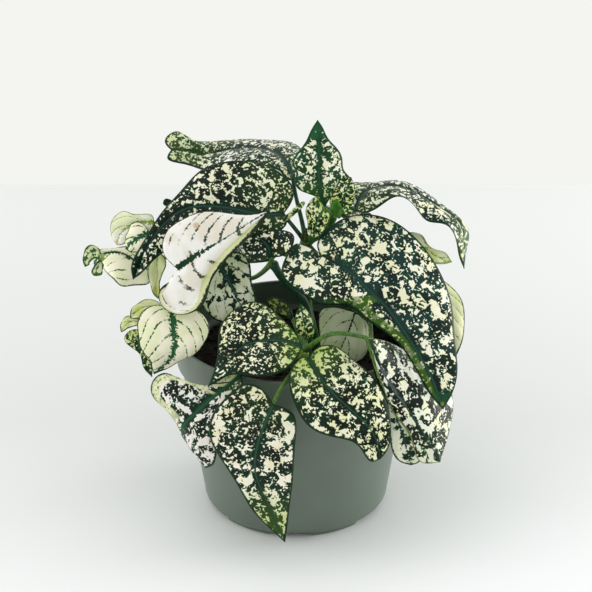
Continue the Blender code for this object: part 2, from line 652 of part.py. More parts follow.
def make_pot(finish, collection, cutters):
    """The pot: floor, tapered wall, collar with a soft lip, and a foot ring cut by notches."""
    soft = 0.4 * MM
    collar_low = POT_HEIGHT - COLLAR_HEIGHT
    floor = FOOT_HEIGHT + WALL
    inner_rim = RIM_RADIUS - WALL
    profile = [
        (0, floor),
        (BASE_RADIUS - WALL - 1 * MM, floor),
        (body_radius(floor + 1 * MM) - WALL, floor + 1 * MM),
        (body_radius(collar_low) - WALL, collar_low),
        (inner_rim, collar_low + COLLAR_STEP),
        (inner_rim, POT_HEIGHT - soft),
        (inner_rim + soft, POT_HEIGHT),
        (RIM_RADIUS - soft, POT_HEIGHT),
        (RIM_RADIUS, POT_HEIGHT - soft),
        (RIM_RADIUS - soft / 2, collar_low + soft),
        (RIM_RADIUS - 2 * soft, collar_low),
        (body_radius(collar_low), collar_low - soft),
        (body_radius(FOOT_HEIGHT + 2 * MM), FOOT_HEIGHT + 2 * MM),
        (BASE_RADIUS - 0.6 * MM, FOOT_HEIGHT + 0.4 * MM),
        (BASE_RADIUS - 1.4 * MM, FOOT_HEIGHT),
        (FOOT_RADIUS, FOOT_HEIGHT),
        (FOOT_RADIUS, 0),
        (FOOT_RADIUS - FOOT_WIDTH, 0),
        (FOOT_RADIUS - FOOT_WIDTH, FOOT_HEIGHT),
        (0, FOOT_HEIGHT),
    ]
    pot = turned("pot", profile, POT_SIDES, finish, collection)
    pot.location = POT_AXIS
    for notch in range(FOOT_NOTCHES):
        angle = math.radians(FIRST_NOTCH_DEGREES + notch * 360 / FOOT_NOTCHES)
        width = 2 * FOOT_RADIUS * math.tan(math.radians(FOOT_NOTCH_DEGREES / 2))
        bpy.ops.mesh.primitive_cube_add(size=1)
        cutter = bpy.context.object
        cutter.name = f"foot_notch_{notch}"
        cutter.scale = (3 * FOOT_WIDTH, width, 2 * FOOT_HEIGHT)
        cutter.rotation_euler.z = angle
        reach = FOOT_RADIUS - FOOT_WIDTH / 2
        cutter.location = POT_AXIS + (reach * math.cos(angle), reach * math.sin(angle), 0)
        as_cutter(cutter, cutters)
    for hole in range(DRAIN_HOLES):
        angle = math.tau * (hole + 0.5) / DRAIN_HOLES
        place = (DRAIN_HOLE_CIRCLE * math.cos(angle), DRAIN_HOLE_CIRCLE * math.sin(angle))
        cylinder_cutter(f"drain_{hole}", DRAIN_HOLE_RADIUS, 0.5 * MM, floor + 1 * MM, place, cutters, 12)
    combine(pot, cutters, "DIFFERENCE")


def make_soil(finish, collection, cutters):
    """Potting mix that fills the pot, rough on top, with a hole for each stem."""
    bottom = FOOT_HEIGHT + WALL + CLEARANCE
    gap = WALL + CLEARANCE
    edge_height = POT_HEIGHT - COLLAR_HEIGHT - 1 * MM
    edge = body_radius(edge_height) - gap
    rings = 7
    top = [(edge * ring / rings, SOIL_TOP) for ring in range(rings)]
    side = [(edge, edge_height), (body_radius(bottom + 1 * MM) - gap, bottom + 1 * MM)]
    profile = [*top, *side, (BASE_RADIUS - gap - 1 * MM, bottom), (0, bottom)]
    plug = turned("soil", profile, POT_SIDES, finish, collection)
    mesh = evaluated_mesh(plug)
    places = np.empty(len(mesh.vertices) * 3)
    mesh.vertices.foreach_get("co", places)
    places = places.reshape(-1, 3)
    on_top = places[:, 2] > SOIL_TOP - 0.1 * MM
    x, y = places[:, 0] / MM, places[:, 1] / MM
    clods = np.sin(0.31 * x + 0.7) * np.cos(0.27 * y) + 0.6 * np.sin(0.63 * x - 0.41 * y + 1.9)
    places[on_top, 2] += SOIL_ROUGHNESS * 0.5 * clods[on_top]
    mesh.vertices.foreach_set("co", places.ravel())
    plug.modifiers.clear()
    plug.data = mesh
    plug.location = POT_AXIS
    mesh.materials.clear()
    mesh.materials.append(finish)
    for name, stem in STEMS.items():
        place = (stem["foot"][0] * MM, stem["foot"][1] * MM)
        low, high = SOIL_TOP - SOIL_HOLE_DEPTH, SOIL_TOP + 5 * MM
        cylinder_cutter(f"{name}_hole", STEM_RADIUS + 2 * CLEARANCE, low, high, place, cutters, 12)
    combine(plug, cutters, "DIFFERENCE", "MANIFOLD")


def node_place(name):
    """The place of a node, where stalks leave the stems."""
    return seen(NODES[name])


def along_path(points):
    """The places of a path whose points are node names or across, down and depth."""
    return [node_place(point) if isinstance(point, str) else seen(point) for point in points]


def tube_mesh(name, points, radius, every=5 * MM):
    """A round tube along a smooth curve through the points, its caps welded."""
    length = sum(np.linalg.norm(np.diff(np.array(points), axis=0), axis=1))
    count = max(3, round(length / every) + 1)
    places = smooth_curve(points, np.linspace(0, 1, count))
    curve = bpy.data.curves.new(name, "CURVE")
    curve.dimensions = "3D"
    curve.bevel_depth = radius
    curve.bevel_resolution = 2
    curve.use_fill_caps = True
    spline = curve.splines.new("POLY")
    spline.points.add(count - 1)
    spline.points.foreach_set("co", np.column_stack([places, np.ones(count)]).ravel())
    holder = bpy.data.objects.new(name, curve)
    bpy.context.scene.collection.objects.link(holder)
    mesh = evaluated_mesh(holder)
    bpy.data.objects.remove(holder)
    shell = bmesh.new()
    shell.from_mesh(mesh)
    bmesh.ops.remove_doubles(shell, verts=shell.verts, dist=0.01 * MM)
    bmesh.ops.recalc_face_normals(shell, faces=shell.faces)
    shell.to_mesh(mesh)
    shell.free()
    return mesh


def make_stem(name, stem, finish, collection):
    """A stem with its swollen nodes and its youngest leaves, joined in one solid."""
    grown = bpy.data.collections.new(f"{name}_growth")
    bpy.context.scene.collection.children.link(grown)
    foot = POT_AXIS + (stem["foot"][0] * MM, stem["foot"][1] * MM, 0)
    low = SOIL_TOP - SOIL_HOLE_DEPTH + CLEARANCE
    feet = [foot + (0, 0, height) for height in (low, SOIL_TOP - 3 * MM, SOIL_TOP + 2 * MM)]
    stalk_mesh = tube_mesh(name, feet + along_path(stem["path"]), STEM_RADIUS)
    trunk = new_object(name, stalk_mesh, finish, collection)
    swollen = [point for point in stem["path"] if isinstance(point, str)]
    for node in swollen:
        bpy.ops.mesh.primitive_uv_sphere_add(segments=10, ring_count=6, radius=NODE_RADIUS)
        bead = bpy.context.object
        bead.name = f"{name}_{node}"
        bead.location = node_place(node)
        as_cutter(bead, grown)
    for k, shoot in enumerate(stem.get("shoots", [])):
        mesh = tube_mesh(f"{name}_shoot_{k}", along_path(shoot), STALK_RADIUS)
        as_cutter(new_object(mesh.name, mesh, finish, grown), grown)
    for k, leaf in enumerate(stem.get("young", [])):
        curves, upper = leaf_curves(leaf)
        stalk = along_path(leaf["stalk"])
        thickness = leaf.get("thick", 0.8) * MM
        mesh = leaf_mesh(f"{name}_young_{k}", curves, upper, stalk, 1, 7, 0.0, thickness)
        as_cutter(new_object(mesh.name, mesh, finish, grown), grown)
    combine(trunk, grown, "UNION", "MANIFOLD")
    joined = evaluated_mesh(trunk)
    joined.name = name
    trunk.modifiers.clear()
    trunk.data = joined
    joined.materials.clear()
    joined.materials.append(finish)
    for piece in list(grown.objects):
        bpy.data.objects.remove(piece)
    bpy.data.collections.remove(grown)


def main():
    for old in list(bpy.data.objects):
        bpy.data.objects.remove(old)
    plant = bpy.data.collections.new("Polka dot plant")
    pot_cutters = bpy.data.collections.new("Pot cutters")
    soil_cutters = bpy.data.collections.new("Soil cutters")
    for collection in (plant, pot_cutters, soil_cutters):
        bpy.context.scene.collection.children.link(collection)
    make_pot(material("pot_plastic", (0.13, 0.16, 0.14), 0.45), plant, pot_cutters)
    make_soil(material("potting_mix", (0.02, 0.015, 0.012), 0.95), plant, soil_cutters)
    stem_finish = material("stem_green", (0.03, 0.10, 0.02), 0.5)
    for name, stem in STEMS.items():
        make_stem(name, stem, stem_finish, plant)
    splashed = material("splashed_leaf", (0.35, 0.42, 0.28), 0.5)
    white = material("white_leaf", (0.75, 0.76, 0.62), 0.5)
    for name, leaf in LEAVES.items():
        curves, upper = leaf_curves(leaf)
        stalk = along_path(leaf["stalk"])
        start = leaf.get("start", STALK_START) * MM
        mesh = leaf_mesh(name, curves, upper, stalk, leaf.get("columns", 2), start=start)
        new_object(name, mesh, white if "white" in name else splashed, plant)
    for name, leaf in HIDDEN_LEAVES.items():
        node = node_place(leaf["node"])
        curves, upper = hidden_leaf_curves(leaf, node)
        mesh = leaf_mesh(name, curves, upper, [node], 2, start=STALK_START * MM)
        new_object(name, mesh, splashed, plant)


main()
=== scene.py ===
# A white-splash polka-dot plant in its 10.5 cm nursery pot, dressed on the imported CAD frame.
# Metres, +Z is up and -Y is the front. Every place comes from the frame or from the leaf tables, which
# repeat those of the CAD source, so each leaf, stem and the pot stand where their solids do.
import math

import bmesh
import bpy
import numpy as np
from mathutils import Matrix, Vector


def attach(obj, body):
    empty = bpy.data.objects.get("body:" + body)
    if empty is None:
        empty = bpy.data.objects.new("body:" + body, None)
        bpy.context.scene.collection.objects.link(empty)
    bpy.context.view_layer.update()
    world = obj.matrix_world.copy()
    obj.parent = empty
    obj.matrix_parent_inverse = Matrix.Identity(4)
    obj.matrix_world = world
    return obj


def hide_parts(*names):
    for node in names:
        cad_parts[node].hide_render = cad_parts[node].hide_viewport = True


mm = 0.001
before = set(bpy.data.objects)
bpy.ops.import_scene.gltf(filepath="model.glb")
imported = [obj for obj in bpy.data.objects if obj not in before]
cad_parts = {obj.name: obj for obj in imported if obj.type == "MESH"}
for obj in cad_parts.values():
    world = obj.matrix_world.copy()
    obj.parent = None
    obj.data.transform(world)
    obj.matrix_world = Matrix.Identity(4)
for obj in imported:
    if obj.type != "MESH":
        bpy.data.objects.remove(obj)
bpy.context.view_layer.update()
print("stage: frame loaded,", len(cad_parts), "nodes")

# The camera stands 80 cm in front of the pot's axis and looks down on it, as the plant's tables assume
view = {
    "potAxis": (7.3 * mm, 1.7 * mm, 0.0),
    "distance": 0.800,
    "height": 0.465,
    "lookDown": math.radians(24.6),
    "pictureMiddle": 296,
    "pictureWidth": 592,
    "eyeToPicture": 2009,
    "sensor": 36.0,
}
potAxis = np.array(view["potAxis"])
eye = potAxis + np.array([0.0, -view["distance"], view["height"]])
forwardWay = np.array([0.0, math.cos(view["lookDown"]), -math.sin(view["lookDown"])])
upWay = np.array([0.0, math.sin(view["lookDown"]), math.cos(view["lookDown"])])


def makeCamera():
    lens = bpy.data.cameras.new("camera")
    lens.sensor_width = view["sensor"]
    lens.lens = view["eyeToPicture"] / view["pictureWidth"] * view["sensor"]
    lens.clip_start, lens.clip_end = 0.05, 20
    camera = bpy.data.objects.new("camera", lens)
    camera.location = eye
    camera.rotation_euler = (math.pi / 2 - view["lookDown"], 0, 0)
    bpy.context.scene.collection.objects.link(camera)
    bpy.context.scene.camera = camera


# Small tools for vectors, curves and noise


def unit(vectors):
    # the vectors at length 1
    return vectors / np.maximum(np.linalg.norm(vectors, axis=-1, keepdims=True), 1e-9)


def sightLine(across, down):
    # the way from the eye through a point of the picture
    right = np.array([across - view["pictureMiddle"], 0, 0]) / view["eyeToPicture"]
    return forwardWay + right + upWay * (view["pictureMiddle"] - down) / view["eyeToPicture"]


def seen(point):
    # the place of a point given as across and down the picture, and depth in mm behind the pot's axis
    across, down, depth = point
    line = sightLine(across, down)
    return eye + line * (depth * mm + view["distance"]) / line[1]


def seenOnPlane(point, at, faces):
    # where a point's sight line meets the leaf's plane, raised by the point's lift in mm
    line = sightLine(*point[:2])
    lift = point[2] * mm if len(point) > 2 else 0.0
    return eye + line * ((at - eye) @ faces + lift) / (line @ faces)


def smoothCurve(points, at):
    # a natural cubic spline through the points, read at fractions of its length
    points = np.asarray(points)
    steps = np.linalg.norm(np.diff(points, axis=0), axis=1)
    count = len(points)
    matrix = np.eye(count)
    right = np.zeros((count, 3))
    for i in range(1, count - 1):
        matrix[i, i - 1 : i + 2] = steps[i - 1], 2 * (steps[i - 1] + steps[i]), steps[i]
        right[i] = 6 * ((points[i + 1] - points[i]) / steps[i] - (points[i] - points[i - 1]) / steps[i - 1])
    bend = np.linalg.solve(matrix, right)
    knots = np.concatenate([[0], np.cumsum(steps)])
    along = np.linspace(0, knots[-1], 900)
    i = np.clip(np.searchsorted(knots, along, side="right") - 1, 0, count - 2)
    step = steps[i][:, None]
    after = (along - knots[i])[:, None]
    before = step - after
    curve = (
        (bend[i] * before**3 + bend[i + 1] * after**3) / (6 * step)
        + (points[i] / step - bend[i] * step / 6) * before
        + (points[i + 1] / step - bend[i + 1] * step / 6) * after
    )
    length = np.concatenate([[0], np.cumsum(np.linalg.norm(np.diff(curve, axis=0), axis=1))])
    return np.stack([np.interp(np.asarray(at) * length[-1], length, curve[:, k]) for k in range(3)], -1)


def rolling(x, y, z, seed):
    # a smooth random field near -1 to 1: waves of many headings added up, about one bump a unit
    random = np.random.default_rng(seed)
    total = np.zeros(np.broadcast(x, y, z).shape)
    for _ in range(9):
        way = random.normal(size=3)
        way *= random.uniform(2.2, 5.2) / np.linalg.norm(way)
        total = total + np.sin(way[0] * x + way[1] * y + way[2] * z + random.uniform(0, math.tau))
    return total / 3


# Small tools for meshes and materials


def hexColour(code):
    # an sRGB hex value as the linear colour that Blender's sockets take
    parts = [int(code[k : k + 2], 16) / 255 for k in (1, 3, 5)]
    return (*[p / 12.92 if p <= 0.04045 else ((p + 0.055) / 1.055) ** 2.4 for p in parts], 1.0)


def addNode(tree, kind, settings=None, sockets=None):
    # one node: its settings by name, and its sockets by name or number, each a value, a hex colour or a link
    node = tree.nodes.new("ShaderNode" + kind)
    for name, value in (settings or {}).items():
        setattr(node, name, value)
    for name, value in (sockets or {}).items():
        socket = node.inputs[name]
        if isinstance(value, bpy.types.NodeSocket):
            tree.links.new(value, socket)
        else:
            socket.default_value = hexColour(value) if isinstance(value, str) else value
    return node


# Settings that many nodes share
smooth = {"interpolation_type": "SMOOTHSTEP"}
blend = {"data_type": "RGBA"}
lobed = {"noise_dimensions": "4D"}
scaled = {"operation": "SCALE"}
times = {"operation": "MULTIPLY"}
timesPlus = {"operation": "MULTIPLY_ADD"}


def newFinish(name):
    # an empty material and its tree
    finish = bpy.data.materials.new(name)
    finish.use_nodes = True
    finish.node_tree.nodes.clear()
    return finish, finish.node_tree


def ringFaces(rings, size):
    # quads between closed rings of points, one after another, facing out
    start = (np.arange(rings - 1) * size)[:, None]
    here = np.arange(size)[None, :]
    after = (here + 1) % size
    quads = [start + here, start + after, start + after + size, start + here + size]
    return np.stack(quads, -1).reshape(-1, 4)


def newPiece(name, points, faces, finishes, slotName, replaced=(), slots=None, notes=None):
    # a smooth mesh piece that rides on the part, stands for its CAD nodes and takes its finishes
    mesh = bpy.data.meshes.new(name)
    mesh.from_pydata(np.asarray(points).reshape(-1, 3).tolist(), [], np.asarray(faces).tolist())
    if slots is not None:
        mesh.polygons.foreach_set("material_index", np.asarray(slots, np.int32))
    mesh.polygons.foreach_set("use_smooth", np.ones(len(mesh.polygons), bool))
    for label, values in (notes or {}).items():
        kind = "FLOAT_VECTOR" if values.ndim == 2 else "FLOAT"
        note = mesh.attributes.new(label, kind, "POINT")
        note.data.foreach_set("vector" if values.ndim == 2 else "value", values.astype(np.float32).ravel())
    for finish in finishes:
        mesh.materials.append(finish)
    mesh.update()
    made = bpy.data.objects.new(name, mesh)
    bpy.context.scene.collection.objects.link(made)
    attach(made, "root")
    if replaced:
        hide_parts(*replaced)
    return made


# The plant's tables: points are (across, down, depth), as the function seen takes them

# Where stalks leave the stems
stemNodes = {
    "main": (306, 243, 4),
    "crown": (333, 214, 8),
    "back": (309, 262, 8),
    "middle": (272, 262, -6),
    "left_low": (203, 298, -5),
    "left_mid": (189, 276, -8),
    "left_high": (172, 250, 1),
    "front": (306, 350, -37),
    "lap": (301, 358, -37),
    "rim": (297, 366, -37),
    "right_low": (352, 287, 15),
    "right": (352, 274, 14),
    "right_high": (357, 261, 13),
}

# Each stem: its foot on the ground plan in mm, its way up, its side shoots and its youngest leaves
stems = {
    "stem_main": {
        "foot": (9, 6),
        "path": [(308, 300, 6), "back", "main", (325, 231, 6), "crown"],
        "young": [
            {
                "at": (335, 216, 0), "faces": (0.1, -0.9, 0.4), "thick": 2.2,
                "rib": [(335, 216), (336, 209), (336.3, 199)],
                "left": [(330, 213), (331, 205)],
                "right": [(341, 213), (341, 205)],
                "stalk": ["crown"],
            },
            {
                "at": (340, 211, 2), "faces": (0.1, -0.9, 0.4),
                "rib": [(340, 211), (343, 200), (347, 189), (351, 177)],
                "left": [(330, 204), (334, 191), (343, 178)],
                "right": [(352, 205), (355, 195), (354, 184)],
                "stalk": ["crown"],
            },
            {
                "at": (341, 213, 0), "faces": (0.1, -0.8, 0.6),
                "rib": [(341, 213), (347, 210), (356, 208)],
                "left": [(344, 206), (350, 205)],
                "right": [(346, 215), (352, 213)],
                "stalk": ["crown"],
            },
            {
                "at": (325, 208, -3), "faces": (-0.3, -0.8, 0.4),
                "rib": [(325, 208), (320, 215, 1), (316, 225, 1), (314, 239, -1)],
                "left": [(314, 197), (307, 207), (306.5, 221), (309.5, 233)],
                "right": [(330, 217), (326, 227), (320, 236)],
                "stalk": ["crown", (332, 216, 1)],
            },
        ],
    },
    "stem_middle": {"foot": (5, -8), "path": [(303, 300, -2), (290, 287, -3), "middle"]},
    "stem_left": {
        "foot": (-20, 4),
        "path": [(226, 322, 2), "left_low", "left_mid", "left_high"],
        "shoots": [["left_low", (197, 312, -4), (182, 318, -9), (162, 320, -14), (150, 329, -15)]],
        "young": [
            {
                "at": (163, 306, -15), "faces": (-0.1, -0.8, 0.6),
                "rib": [(163, 309), (148, 306), (137, 311), (130, 318)],
                "left": [(157, 301), (151, 299), (140, 302), (132, 308)],
                "right": [(152, 313), (141, 318), (134, 319)],
                "stalk": [(172, 318, -13)],
            },
            {
                "at": (143, 323, -16), "faces": (-0.2, -0.8, 0.5),
                "rib": [(143, 323), (132, 321), (126, 325), (121, 332)],
                "left": [(135, 317), (128, 316), (121, 322)],
                "right": [(138, 326), (131, 327), (126, 330)],
                "stalk": [(158, 323, -14)],
            },
            {
                "at": (148, 333, -18), "faces": (-0.3, -0.9, 0.3),
                "rib": [(148, 333), (139, 341), (142, 356), (152, 377)],
                "left": [(141, 330), (129, 331), (124, 338), (129, 345), (139, 354), (143, 366)],
                "right": [(150, 341), (150, 352), (152, 366)],
                "stalk": [(153, 326, -15)],
            },
            {
                "at": (148, 233, -1), "faces": (-0.1, -0.9, 0.4),
                "rib": [(149, 233), (142, 236, 1), (134, 241, 1), (126, 249, -1)],
                "left": [(151, 242), (146, 249), (138, 252), (131, 252, -1)],
                "right": [(145, 226), (138, 222), (131, 224, 1), (128, 231), (125, 241, -1)],
                "stalk": [(171, 247, 0), (168, 241, -2), (159, 236, -3)],
            },
        ],
    },
    "stem_front": {
        "foot": (3, -26),
        "path": ["rim", "lap", "front"],
        "young": [
            {
                "at": (306, 343, -32), "faces": (0.1, -0.95, 0.3),
                "rib": [(306, 343), (305, 330), (303, 316), (301, 304)],
                "left": [(298, 335), (295, 322), (297, 311)],
                "right": [(313, 337), (314, 325), (308, 311)],
                "stalk": ["front"],
            },
            {
                "at": (293, 320, -22), "faces": (-0.1, -0.9, 0.4),
                "rib": [(293, 320), (284, 309), (275, 303), (267, 300)],
                "left": [(287, 318), (278, 315), (269, 309)],
                "right": [(291, 309), (283, 300), (273, 297)],
                "stalk": ["front", (300, 336, -31)],
            },
        ],
    },
    "stem_right": {"foot": (24, 14), "path": ["right_low", "right", "right_high"]},
}

# Leaves that the front view hides: node, heading clockwise from straight back, rise and droop in degrees
hiddenLeaves = {
    "leaf_back_left": {
        "node": "back", "heading": -52, "rise": 2, "droop": 62, "lift": 0,
        "stalk": 17, "length": 56, "halfWidth": 17,
    },
    "leaf_back_high": {
        "node": "crown", "heading": 12, "rise": -4, "droop": 50, "lift": -6,
        "stalk": 14, "length": 46, "halfWidth": 12,
    },
    "leaf_back_right": {
        "node": "back", "heading": 38, "rise": 2, "droop": 55, "lift": 0,
        "stalk": 21, "length": 51, "halfWidth": 15,
    },
    "leaf_back_hanging": {
        "node": "right", "heading": -6, "rise": -14, "droop": 72, "lift": -5,
        "stalk": 20, "length": 56, "halfWidth": 16,
    },
    "leaf_back_low_left": {
        "node": "left_low", "heading": -6, "rise": -2, "droop": 76, "lift": 0,
        "stalk": 18, "length": 48, "halfWidth": 12,
    },
    "leaf_back_low_right": {
        "node": "right", "heading": 52, "rise": -6, "droop": 76, "lift": -5,
        "stalk": 18, "length": 44, "halfWidth": 13,
    },
}

